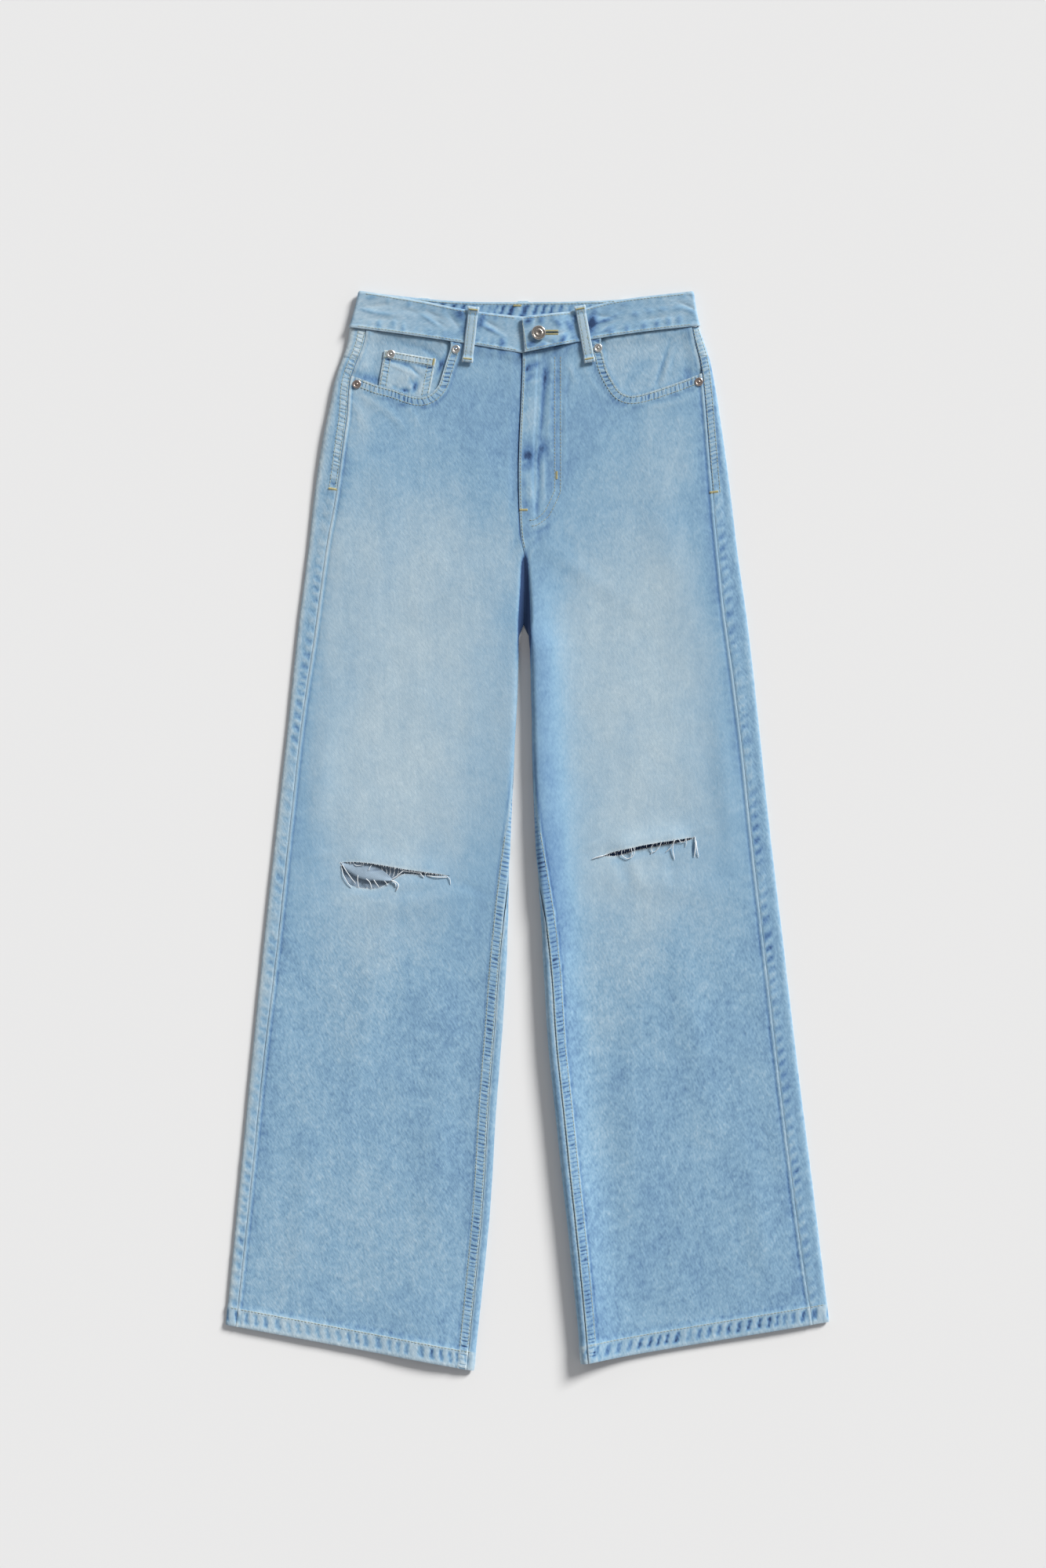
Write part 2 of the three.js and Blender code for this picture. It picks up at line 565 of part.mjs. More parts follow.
const FLY_SHIELD = [[-14, 493], [28, 497], [28, 372], [18, 346], [-6, 334], [-14, 340]];
const ZIP = [[-2.5, 494], [15, 495], [15, 364], [-4, 360]];

const DENIM_LOOK = { color: 0x9db9cd, roughness: 0.9, metalness: 0 };
const METAL_LOOK = { color: 0xb9b3a8, roughness: 0.35, metalness: 1 };

const jeans = new THREE.Group();

function add(name, geometry, look = DENIM_LOOK) {
  const mesh = new THREE.Mesh(geometry, new THREE.MeshStandardMaterial(look));
  mesh.name = name;
  jeans.add(mesh);
}

for (const [side, leg] of Object.entries(LEGS)) {
  const scoop = plate(scoopOutline(leg, 0, 0), 3.5, 9);
  const slit = plate(smoothLine([...leg.slit, leg.slit[0]], 40).slice(0, -1), 2, 9);
  add(`front_${side}`, cut(frontPanel(leg), scoop, slit));
  add(`back_${side}`, backPanel(leg));
  add(`yoke_${side}`, yokePanel(leg));
  add(`pocket_facing_${side}`, pocketFacing(leg));
  add(`back_pocket_${side}`, backPocket(leg.toward * -BACK_POCKET_CENTRE, leg.toward));
}
add('coin_pocket', coinPocket());
add('fly_shield', plate(FLY_SHIELD, 3.4, 4.4));
add('zip', plate(ZIP, 4.7, 5.2));
add('waistband', cut(waistband(), ...buttonhole()));
for (const [name, top, bottom, bow] of LOOPS) add(name, strip(top, bottom, HALF_LOOP, LOOP, bow, 4));
add('button', button(), METAL_LOOK);
for (const [name, x, y, height] of RIVETS) add(name, rivet(x, y, height), METAL_LOOK);

export default jeans;
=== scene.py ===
"""Ripped wide-leg jeans laid flat with the front up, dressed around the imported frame.

Lengths inside the script are in millimetres and turn into metres when a mesh is made.
Right and left are the wearer's: the right leg lies on the side of -X.
"""

import json
from types import SimpleNamespace

import bpy
import numpy as np
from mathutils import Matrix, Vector
from mathutils.bvhtree import BVHTree

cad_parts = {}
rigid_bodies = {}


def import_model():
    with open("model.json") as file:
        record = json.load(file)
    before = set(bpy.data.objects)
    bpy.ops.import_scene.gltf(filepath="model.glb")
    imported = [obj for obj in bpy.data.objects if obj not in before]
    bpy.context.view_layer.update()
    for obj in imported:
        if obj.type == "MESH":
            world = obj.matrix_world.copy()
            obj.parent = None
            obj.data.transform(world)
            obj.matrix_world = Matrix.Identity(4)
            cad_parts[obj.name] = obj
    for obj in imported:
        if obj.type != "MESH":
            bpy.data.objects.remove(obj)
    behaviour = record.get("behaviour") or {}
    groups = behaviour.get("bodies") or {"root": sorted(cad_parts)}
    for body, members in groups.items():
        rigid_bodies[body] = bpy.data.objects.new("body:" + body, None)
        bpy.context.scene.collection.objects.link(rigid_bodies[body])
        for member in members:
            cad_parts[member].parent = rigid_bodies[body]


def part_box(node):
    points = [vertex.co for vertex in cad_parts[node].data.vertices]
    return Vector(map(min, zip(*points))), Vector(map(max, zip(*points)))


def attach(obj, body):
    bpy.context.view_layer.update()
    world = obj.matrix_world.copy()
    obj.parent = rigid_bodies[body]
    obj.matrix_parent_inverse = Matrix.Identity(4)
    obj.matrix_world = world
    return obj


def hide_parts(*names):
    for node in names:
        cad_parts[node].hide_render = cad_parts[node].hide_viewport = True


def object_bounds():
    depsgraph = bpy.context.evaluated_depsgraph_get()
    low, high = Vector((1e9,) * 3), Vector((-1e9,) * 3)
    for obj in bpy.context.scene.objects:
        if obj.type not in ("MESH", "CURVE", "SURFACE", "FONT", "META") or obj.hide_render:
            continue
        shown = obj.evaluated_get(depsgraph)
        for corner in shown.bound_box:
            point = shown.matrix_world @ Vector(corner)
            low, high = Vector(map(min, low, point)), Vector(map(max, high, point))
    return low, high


bl_info = {
    "name": "Ripped Jeans",
    "version": (1, 0, 0),
    "blender": (4, 5, 0),
    "location": "View3D > Sidebar > Jeans",
    "description": "Builds washed denim, stitching, metal trim and frayed rips on a pair of jeans laid flat",
    "category": "Object",
}

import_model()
CAD_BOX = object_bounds()

MM = 0.001
TURN = 6.2832
DENIM_SLOT = "denim"

# ---------------------------------------------------------------------------------------------------------
# The pattern: the same outlines and layers as the solids, in millimetres.
# ---------------------------------------------------------------------------------------------------------

DENIM = 1.2
HEM = 2.0
BAND = 2.6
LOOP = 1.6
SEAM_GAP = 0.3
TURNING_GAP = 0.8

HIP_TOP = 5.8
SHIN_TOP = 3.9
EDGE_TOP = 5.6
OUTER_TOP = 3.6
VALLEY = 2.3
FOLD_REACH = 4.4
FOLD_ARC = 5.6
FOLD_SOFT = 18
POCKET_LIFT = 1.5
LOOP_LIFT = 1.9
FLY_STEP = 0.6
FACING_DROP = 1.7

YOKE_SIDE = 0.029
YOKE_CENTRE = 0.04
GAP_TIP = 0.1975
CROTCH = 0.267
LEGS_APART = 0.293
HEM_START = 0.981
CENTRE_BACK = -4.5
BACK_RISE = 0.0172
INNER_FLAT = 16
FACING_END = 62
FACING_BOTTOM = 0.09
CLOSING = 0.88
LEG_LENGTH = 1050
PAST_HIP = 215
PAST_WAIST = 545

WAIST_INNER = 499
CENTRE_FRONT = [(538, -9.4), (518, -8), (498, -5.3), (454, -6.4), (409, -8.4), (377, -9.2), (344, -8.8),
                (311, -7.2), (295, -4.6), (289, -3.2), (263, -2.9), (240, -3.1), (215, -3.9)]

# Where the inseam lies, measured round the inner fold: plus is on the front, minus is underneath.
INSEAM = [(215, -9), (160, -11), (60, -9), (10, -5), (-40, 0.5), (-100, 6), (-160, 9), (-300, 9.5),
          (-450, 9), (-570, 8)]

RIGHT = SimpleNamespace(
    side="right", toward=1, waist_outer=526, hem_outer=-517, hem_inner=-565, bow=1.2, seed=11,
    inner_top=4.6, inner_soft=18,
    outer=[(564, -176), (550, -182), (526, -186), (508, -189), (475, -200.5), (442, -207.5), (409, -214.5),
           (360, -222), (295, -229.5), (213, -240), (114, -250.5), (16, -261.5), (-115, -276),
           (-247, -289.5), (-378, -302.5), (-520, -316)],
    inner=[(263, -5.5), (240, -6.8), (215, -8), (163, -9.6), (131, -11), (81, -13.7), (16, -17), (-33, -18.7),
           (-115, -20.8), (-197, -25), (-247, -28.9), (-296, -32.6), (-361, -36.3), (-411, -40),
           (-493, -48.5), (-565, -56.4)],
    outseam=[(526, 17), (475, 15), (426, 20.5), (360, 22), (295, 18), (213, 17.5), (114, 13.5), (16, 13.5),
             (-115, 14), (-247, 12), (-378, 11.5), (-520, 10)],
    scoop=[(-80.4, 512), (-80.4, 505), (-85.4, 489), (-88.8, 478), (-92.6, 466.5), (-100, 458), (-108, 454),
           (-117, 454), (-128, 457), (-140, 461.5), (-157, 466), (-174, 472.5), (-190, 478)],
    rip_upper=[(-196, -33), (-183, -32.4), (-166, -33.8), (-144, -37.5), (-128, -40.5), (-105, -43.8),
               (-83, -47.4)],
    rip_lower=[(-196, -33.4), (-192, -44.8), (-186, -54.5), (-178, -58.6), (-170, -60.3), (-157, -60.3),
               (-146, -55.5), (-138, -50), (-130, -45.6), (-115, -46), (-103, -47.3), (-83, -48)],
    rip_rise=1.3, rip_shade=0.15, tack_height=357.7,
)
LEFT = SimpleNamespace(
    side="left", toward=-1, waist_outer=527.5, hem_outer=-514, hem_inner=-557, bow=3.2, seed=23,
    inner_top=13.4, inner_soft=26,
    outer=[(564, 173), (547, 176.5), (526, 180), (508, 186), (491, 191.3), (459, 197.5), (409, 205),
           (360, 211.8), (295, 219.5), (213, 231), (114, 242), (16, 252), (-115, 267.5), (-247, 283),
           (-378, 299.5), (-516, 316)],
    inner=[(263, -0.4), (240, 0.8), (215, 1.3), (163, 3), (131, 3.9), (81, 5.1), (16, 7.6), (-33, 10),
           (-96, 14.1), (-159, 17.4), (-222, 21), (-264, 25.3), (-306, 29.9), (-360, 35.5), (-411, 41.3),
           (-498, 50.5), (-557, 56)],
    outseam=[(527, 7), (508, 9), (475, 11), (432, 14), (360, 18), (284, 20), (229, 22), (153, 20.5),
             (59, 19), (-53, 19.5), (-200, 20), (-411, 20), (-516, 17)],
    scoop=[(77, 513), (77, 505), (79, 499), (83.3, 483), (90, 469.6), (97.5, 459.4), (107.5, 455.4),
           (121, 457.2), (140, 463), (159, 469.6), (176, 476), (190, 481)],
    rip_upper=[(78, -26.6), (93.4, -21.2), (108.5, -17.8), (119, -15.2), (129, -13.3), (140.5, -11.2),
               (154, -9.1), (175, -6)],
    rip_lower=[(78, -27), (92.5, -26.4), (105, -23.4), (112, -20.8), (119, -19.2), (129, -17.3), (138, -15.6),
               (151, -12.9), (164.5, -10.6), (175, -6.8)],
    rip_rise=3.0, rip_shade=1.00, tack_height=354.4,
)

# Soft folds pressed into the front: (x, y, direction in degrees, half length, half width, height).
FOLDS = [
    (-150, 300, 82, 90, 18, 0.7), (150, 290, 100, 90, 18, 0.7), (-60, 268, 35, 55, 10, 0.6),
    (58, 270, 145, 55, 10, 0.6), (-215, 60, 84, 80, 12, 0.9), (205, 60, 97, 80, 12, 0.9),
    (-120, -75, 8, 70, 14, 0.9), (130, -55, 172, 70, 14, 0.8), (-170, -200, 78, 95, 16, 1.0),
    (175, -210, 102, 95, 16, 1.0), (-95, -330, 88, 110, 18, 0.9), (110, -340, 90, 110, 18, 0.9),
    (-235, -400, 82, 80, 14, 0.8), (240, -400, 98, 80, 14, 0.8),
]
# Where the leg openings stand a little open, in the same terms.
HEM_PUFFS = [(-100, -545, 80, 90, 45, 2.4), (85, -545, 100, 90, 40, 1.8), (262, -520, 98, 60, 30, 0.6)]

# Small creases and marks on the front: (x, y, degrees, half length, half width, height, change of wash).
# Their darker wash is partly worn indigo and partly painted shade in hollows and along the tears.
FRONT_MARKS = [
    (3.5, 437, 90, 23, 8, 0.2, 0.18), (2, 364, 90, 15, 7, 0.2, 0.18), (0, 393, 90, 12, 6.5, -0.3, -0.42),
    (0, 398.5, 4, 5, 0.9, 0.2, 0.34), (0.5, 385.5, -4, 6, 1.1, 0.2, 0.34),
    (15.5, 399, 82, 11, 5, -0.4, -0.40), (10.3, 400, 88, 9, 1.3, 0.3, 0.26),
    (18.5, 475, 84, 13, 4.0, -0.7, -0.40), (16, 448, 86, 16, 2.2, -0.6, -0.32),
    (14.2, 424, 86, 14, 1.8, -0.5, -0.26), (11.6, 376, 92, 20, 1.8, -0.5, -0.30),
    (10.6, 349, 90, 12, 1.8, -0.4, -0.24), (23, 456, 88, 26, 2.2, 0.4, 0.14),
    (21.5, 419, 90, 18, 1.8, 0.4, 0.12), (17, 370, 90, 22, 2.2, 0.4, 0.12),
    (6, 368, 90, 16, 1.4, -0.3, -0.14), (0, 483, 60, 5, 3.4, -0.3, -0.34),
    (8, 487, 30, 5, 3.0, -0.3, -0.34), (3, 474, 35, 6, 2.6, -0.3, -0.24), (10, 470, 25, 6, 2.0, 0.3, 0.14),
    (6, 493, 12, 9, 1.8, 0.4, 0.18), (34, 432, 90, 36, 5.5, -0.1, -0.05),
    (31, 474, 88, 14, 3.2, -0.3, -0.05), (24.5, 430, 90, 46, 1.4, 0.3, 0.12),
    (39.5, 430, 90, 46, 1.2, 0.3, 0.10), (46, 480, 116, 12, 2.4, 0.4, 0.10),
    (27, 486, 100, 8, 2.2, 0.4, 0.12), (41, 462, 80, 14, 2.2, -0.3, -0.10),
    (-1, 341, 8, 6, 3.4, -0.3, -0.24), (9, 338, 90, 7, 2.4, -0.3, -0.24), (3, 352, 90, 8, 2.2, 0.3, 0.10),
    (10, 313, 25, 18, 2.6, -0.4, -0.16), (17, 320, 12, 14, 2.6, 0.3, 0.08),
    (10, 304, 50, 14, 2.4, -0.3, -0.12), (24, 322, 40, 14, 2.2, -0.2, -0.12),
    (5, 296, 75, 14, 2.6, 0.3, 0.08), (20, 330, 20, 7, 3, -0.2, -0.15), (-13, 300, 70, 24, 3, -0.3, -0.08),
    (-14, 372, 88, 40, 4, -0.3, -0.07), (-158, 444, -32, 22, 3, 0.4, 0.13),
    (-140, 433, -50, 18, 3, 0.4, 0.10), (-176, 436, -60, 18, 3.4, 0.3, 0.10),
    (-120, 436, -62, 16, 3, 0.3, 0.07), (-100, 440, 60, 14, 3, -0.2, -0.07),
    (-180, 452, -20, 10, 3, -0.3, -0.08), (66, 470, 115, 24, 3, 0.3, 0.08),
    (72, 455, 118, 20, 2.6, -0.3, -0.08), (100, 440, 20, 20, 3, 0.3, 0.06),
    (150, 447, 15, 24, 3, 0.3, 0.10), (102, -46, -74, 19, 7, -0.5, -0.13),
    (113, -40, -68, 24, 5, 0.3, 0.03), (173.2, -19, 89, 8, 1.2, -0.6, -0.50),
    (150, -34, -82, 26, 6, -0.4, -0.06), (-60, -60, -20, 26, 5, -0.4, -0.05),
    (-118, -64, 8, 28, 5, -0.4, -0.05), (-176, -66, 20, 20, 4, 0.3, 0.04), (66, -16, 18, 22, 3, 0.3, 0.03),
    (186, 2, 15, 20, 3, 0.3, 0.04), (-214, -26, 10, 16, 3, 0.3, 0.04),
]

# Faded places: (x, y, half width, half length, change of wash).
BASE_WASH = 0.47
FADES = {
    "right": [(-118, 160, 108, 236, 0.33), (-164, -25, 82, 150, 0.14), (-190, -156, 64, 160, 0.09),
              (-182, 440, 30, 48, 0.20), (-212, 180, 24, 190, 0.12), (-184, 300, 34, 80, 0.12),
              (-24, 300, 24, 60, 0.12), (-199, -443, 140, 110, 0.09), (-60, 420, 60, 70, -0.03),
              (-98, 296, 32, 60, 0.08)],
    "left": [(110, 150, 98, 232, 0.34), (170, -40, 60, 150, 0.10), (92, -96, 58, 130, 0.15),
             (72, -279, 40, 120, 0.05), (148, 410, 38, 70, 0.10), (206, 310, 26, 90, -0.12),
             (30, 400, 40, 90, -0.06), (130, -500, 130, 80, -0.02), (215, 420, 30, 120, -0.07)],
}


def mix(low, high, share):
    """The value that lies a share of the way from low to high."""
    return low + (high - low) * share


def ramp(low, high, at):
    """0 below low, 1 above high and straight between."""
    return np.clip((at - low) / (high - low), 0, 1)


def soft(low, high, at):
    """0 below low, 1 above high and smooth between."""
    share = ramp(low, high, at)
    return share * share * (3 - 2 * share)


def bell(distance, width):
    """1 at no distance, falling softly to nothing."""
    return np.exp(-((distance / width) ** 2))


def along(pairs, at):
    """A smooth value between given pairs that are ordered by their first number."""
    table = np.array(sorted(pairs), dtype=float)
    places, values = table[:, 0], table[:, 1]
    slopes = np.empty(len(places))
    slopes[1:-1] = (values[2:] - values[:-2]) / (places[2:] - places[:-2])
    slopes[0] = (values[1] - values[0]) / (places[1] - places[0])
    slopes[-1] = (values[-1] - values[-2]) / (places[-1] - places[-2])
    at = np.asarray(at, dtype=float)
    k = np.clip(np.searchsorted(places, at, side="right") - 1, 0, len(places) - 2)
    width = places[k + 1] - places[k]
    share = (at - places[k]) / width
    t = np.clip(share, 0, 1)
    start, end = slopes[k] * width, slopes[k + 1] * width
    rise = values[k + 1] - values[k]
    inside = values[k] + start * t + (3 * rise - 2 * start - end) * t**2 + (start + end - 2 * rise) * t**3
    return inside + start * np.minimum(share, 0) + end * np.maximum(share - 1, 0)


def smooth_line(points, pieces):
    """A smooth line through given points, as an array of places."""
    points = np.array(points, dtype=float)
    steps = np.arange(len(points))
    at = np.linspace(0, len(points) - 1, pieces + 1)
    return np.stack([along(list(zip(steps, points[:, axis])), at) for axis in range(points.shape[1])], axis=1)


def lumps(x, y, size, seed):
    """Soft seeded noise between -1 and 1 whose lumps have the given size."""
    lattice = np.random.default_rng(seed).uniform(-1, 1, (128, 128))
    u, w = np.broadcast_arrays(x / size + 640.0, y / size + 640.0)
    i, j = np.floor(u).astype(int), np.floor(w).astype(int)
    s, t = u - i, w - j
    s, t = s * s * (3 - 2 * s), t * t * (3 - 2 * t)
    near = mix(lattice[i % 128, j % 128], lattice[(i + 1) % 128, j % 128], s)
    far = mix(lattice[i % 128, (j + 1) % 128], lattice[(i + 1) % 128, (j + 1) % 128], s)
    return mix(near, far, t)


def oblong(x, y, mark):
    """How near each place is to a soft oblong mark given as (x, y, degrees, half length, half width)."""
    middle_x, middle_y, degrees, half_length, half_width = mark[:5]
    angle = np.radians(degrees)
    lengthwise = (x - middle_x) * np.cos(angle) + (y - middle_y) * np.sin(angle)
    across = (y - middle_y) * np.cos(angle) - (x - middle_x) * np.sin(angle)
    return np.exp(-((lengthwise / half_length) ** 2) - (across / half_width) ** 2)


def rows_at(leg, v):
    """The lines across a leg, from its outer fold to the centre line or the inner fold, at each v."""
    v = np.asarray(v, dtype=float)
    outer_y = mix(leg.waist_outer, leg.hem_outer, v)
    inner_y = mix(WAIST_INNER, leg.hem_inner, v)
    outer_x = along(leg.outer, outer_y) + leg.toward * DENIM / 2
    fold_x = along(leg.inner, inner_y) - leg.toward * DENIM / 2
    inner_x = mix(along(CENTRE_FRONT, inner_y), fold_x, ramp(CROTCH, LEGS_APART, v))
    width = np.hypot(inner_x - outer_x, inner_y - outer_y)
    return SimpleNamespace(
        leg=leg, v=v, outer_x=outer_x, outer_y=outer_y, inner_x=inner_x, inner_y=inner_y, width=width,
        across_x=(inner_x - outer_x) / width, across_y=(inner_y - outer_y) / width,
    )


def plan_point(rows, inset):
    """Where a place across a row lies, seen from above."""
    bow = rows.leg.bow * np.maximum(0, 1 - rows.v / 0.15)
    rise = bow * np.sin(np.pi * np.clip(inset / rows.width, 0, 1))
    return rows.outer_x + rows.across_x * inset, rows.outer_y + rows.across_y * inset + rise


def outseam_inset(rows):
    """How far the side seam lies in from the outer fold."""
    return along(rows.leg.outseam, rows.outer_y)


def cloth_wall(v):
    """The wall of a leg's cloth, thicker over the turned hem."""
    return np.where(v >= HEM_START, HEM, DENIM)


def back_waist(share):
    """Where the back's waist edge lies down the leg. It rises towards the centre, so it is minus there."""
    return -BACK_RISE * share * share


def yoke_seam(share):
    """Where the yoke's seam lies down the leg, at a share across the back."""
    return mix(YOKE_SIDE, YOKE_CENTRE, share)


def top_height(rows, inset):
    """The height of the middle of the front layer."""
    middle = mix(HIP_TOP, SHIN_TOP, soft(0.12, 0.4, rows.v))
    at_side = mix(EDGE_TOP, OUTER_TOP, soft(0.09, 0.2, rows.v))
    outer_fold = bell(inset - FOLD_REACH, FOLD_SOFT)
    inner_fold = bell(rows.width - inset - FOLD_REACH, rows.leg.inner_soft) * soft(0.2, 0.3, rows.v)
    x, y = plan_point(rows, inset)
    clear = np.maximum(0, 1 - outer_fold - inner_fold)
    folds = sum(fold[5] * oblong(x, y, fold) for fold in FOLDS) * (1 - soft(0.9, HEM_START, rows.v))
    puffs = sum(puff[5] * oblong(x, y, puff) for puff in HEM_PUFFS)
    edges = (at_side - middle) * outer_fold + (rows.leg.inner_top - middle) * inner_fold
    return middle + edges + (folds + puffs) * clear


def bottom_height(rows, inset):
    """The height of the middle of the back layer, lifted where pockets or loops lie under it."""
    share = inset / rows.width
    clear_of_centre = np.where(rows.v < CROTCH, np.clip((rows.width - inset) / 22, 0, 1), 1)
    over_pocket = soft(YOKE_SIDE, 0.06, rows.v) * (1 - soft(0.245, CROTCH, rows.v))
    under_band = 1 - soft(0.017, 0.034, rows.v - back_waist(share))
    lift = POCKET_LIFT * over_pocket * clear_of_centre + LOOP_LIFT * under_band
    return cloth_wall(rows.v) / 2 + lift * soft(8, 32, inset)


def ring_point(rows, from_inner, arc):
    """A place on a leg's flattened tube. The arc runs from a fold: plus on the front, minus underneath."""
    turn = np.clip(arc / FOLD_ARC, -1, 1) * np.pi / 2
    inset = FOLD_REACH * (1 - np.cos(turn)) + np.maximum(0, np.abs(arc) - FOLD_ARC)
    place = rows.width - inset if from_inner else inset
    x, y = plan_point(rows, place)
    top, bottom = top_height(rows, place), bottom_height(rows, place)
    height = (top + bottom) / 2 + np.sin(turn) * (top - bottom) / 2
    return np.stack(np.broadcast_arrays(x, y, height), axis=-1)


def arc_of_inset(inset):
    """The arc at a place this far in from a fold."""
    return inset - FOLD_REACH + FOLD_ARC


def centre_point(rows, in_from_centre):
    """The front near the centre line: flat at the fly, then sinking into the cleft between the legs."""
    place = rows.width - in_from_centre
    x, y = plan_point(rows, place)
    top = top_height(rows, place)
    half_gap = np.abs(along(rows.leg.inner, rows.inner_y) - rows.inner_x)
    depth = soft(GAP_TIP - 0.008, GAP_TIP + 0.03, rows.v) * (top - VALLEY)
    sink = depth * (1 - soft(half_gap - 1.5, half_gap + 5, in_from_centre))
    reach = (2, 12) if rows.leg.toward > 0 else (30, 44)
    step = -rows.leg.toward * FLY_STEP * (1 - soft(*reach, in_from_centre))
    step = step * (1 - soft(0.13, GAP_TIP, rows.v))
    return np.stack(np.broadcast_arrays(x, y, top - sink + step), axis=-1)


def inseam(rows):
    """The place of the inseam round the inner fold, and half of the gap between its two panels."""
    arc = along(INSEAM, rows.inner_y)
    return arc, (SEAM_GAP + TURNING_GAP * bell(arc, 1.9 * FOLD_ARC)) / 2


def blend_to_leg(v, at_centre, on_leg):
    """A panel's inner edge: on the centre line above the crotch, round the inner fold below it."""
    return mix(at_centre, on_leg, ramp(CROTCH, LEGS_APART, v)[..., None])


def signed_distance(x, y, outline):
    """The distance of each place to a closed outline, minus inside it, and the outline's nearest place."""
    start = np.asarray(outline, dtype=float)
    step = np.roll(start, -1, axis=0) - start
    best = np.full(np.shape(x), np.inf)
    near_x, near_y = np.zeros_like(best), np.zeros_like(best)
    inside = np.zeros(np.shape(x), dtype=bool)
    for (ax, ay), (dx, dy) in zip(start, step):
        t = np.clip(((x - ax) * dx + (y - ay) * dy) / max(dx * dx + dy * dy, 1e-9), 0, 1)
        px, py = ax + t * dx, ay + t * dy
        distance = np.hypot(x - px, y - py)
        closer = distance < best
        best = np.where(closer, distance, best)
        near_x, near_y = np.where(closer, px, near_x), np.where(closer, py, near_y)
        crosses = (ay > y) != (ay + dy > y)
        inside ^= crosses & (x < ax + dx * (y - ay) / (dy if dy else 1e-9))
    return np.where(inside, -best, best), near_x, near_y


def line_distance(x, y, line):
    """The distance of each place to an open line, and how far along the line its nearest place lies."""
    line = np.asarray(line, dtype=float)
    step = np.diff(line, axis=0)
    lengths = np.hypot(step[:, 0], step[:, 1])
    starts = np.concatenate([[0], np.cumsum(lengths)[:-1]])
    best = np.full(np.shape(x), np.inf)
    travelled = np.zeros_like(best)
    for (ax, ay), (dx, dy), length, begun in zip(line[:-1], step, lengths, starts):
        t = np.clip(((x - ax) * dx + (y - ay) * dy) / max(length**2, 1e-9), 0, 1)
        distance = np.hypot(x - ax - t * dx, y - ay - t * dy)
        closer = distance < best
        best = np.where(closer, distance, best)
        travelled = np.where(closer, begun + t * length, travelled)
    return best, travelled


# ---------------------------------------------------------------------------------------------------------
# Settings that a user would change.
# ---------------------------------------------------------------------------------------------------------

def colour_property(name, description, default):
    return bpy.props.FloatVectorProperty(
        name=name, description=description, default=default, size=3, min=0, max=1, subtype="COLOR")


def length_property(name, description, default):
    return bpy.props.FloatProperty(name=name, description=description, default=default, min=0, unit="LENGTH")


def share_property(name, description, default):
    return bpy.props.FloatProperty(name=name, description=description, default=default, min=0, max=2,
                                   subtype="FACTOR")


class JeansCloth(bpy.types.PropertyGroup):
    """Sizes of the cloth's own relief."""
    wale: length_property("Wale spacing", "Distance between the twill's diagonal lines", 0.0011)
    stitch: length_property("Stitch length", "Length of one topstitch", 0.0030)
    thread: length_property("Thread radius", "Half the thickness of the sewing thread", 0.00038)
    yarn: length_property("Yarn radius", "Half the thickness of a frayed weft yarn", 0.00034)
    pucker: share_property("Pucker", "How strongly seams and hems are puckered", 1.0)
    crease: share_property("Creases", "How strongly the small creases show", 1.0)


class JeansColours(bpy.types.PropertyGroup):
    """Colours of the denim at each stage of wear, and of the threads."""
    # navy also carries painted shade: the cleft, the fly's shadow line and the inside under the rips are
    # darkened towards it.
    navy: colour_property("Navy", "Unfaded indigo deep inside a fold", (0.030, 0.062, 0.150))
    indigo: colour_property("Indigo", "Indigo left in the recesses of seams", (0.105, 0.214, 0.400))
    washed: colour_property("Washed", "The even washed blue of the lower legs", (0.235, 0.395, 0.545))
    faded: colour_property("Faded", "The thighs and knees, rubbed pale", (0.408, 0.525, 0.605))
    bleached: colour_property("Bleached", "Edges worn nearly white", (0.600, 0.690, 0.730))
    wrong: colour_property("Wrong side", "The white weft that shows inside the legs", (0.330, 0.430, 0.530))
    thread: colour_property("Thread", "Topstitching after many washes", (0.400, 0.440, 0.370))
    tack: colour_property("Tack", "Ochre thread of bar tacks and the buttonhole", (0.480, 0.440, 0.240))
    weft: colour_property("Weft", "White yarns frayed out of the rips", (0.780, 0.820, 0.850))


class JeansMetal(bpy.types.PropertyGroup):
    """Colours of the button, rivets and zip."""
    antique: colour_property("Antique nickel", "The button", (0.60, 0.55, 0.50))
    nickel: colour_property("Nickel", "Rivets at the pocket mouths", (0.94, 0.92, 0.88))
    copper: colour_property("Copper", "Rivets at the side seams", (0.60, 0.50, 0.45))


class JeansStage(bpy.types.PropertyGroup):
    """The camera, light and floor."""
    camera_height: length_property("Camera height", "Height of the camera above the floor", 3.0)
    view_height: length_property("View height", "Length of floor that the picture's long side takes in",
                                 1.6392)
    light_elevation: bpy.props.FloatProperty(
        name="Light elevation", description="Height of the main light above the floor", default=0.44,
        unit="ROTATION")
    light_bearing: bpy.props.FloatProperty(
        name="Light bearing", description="Direction that the light comes from", default=0.80,
        unit="ROTATION")


# ---------------------------------------------------------------------------------------------------------
# Materials.
# ---------------------------------------------------------------------------------------------------------

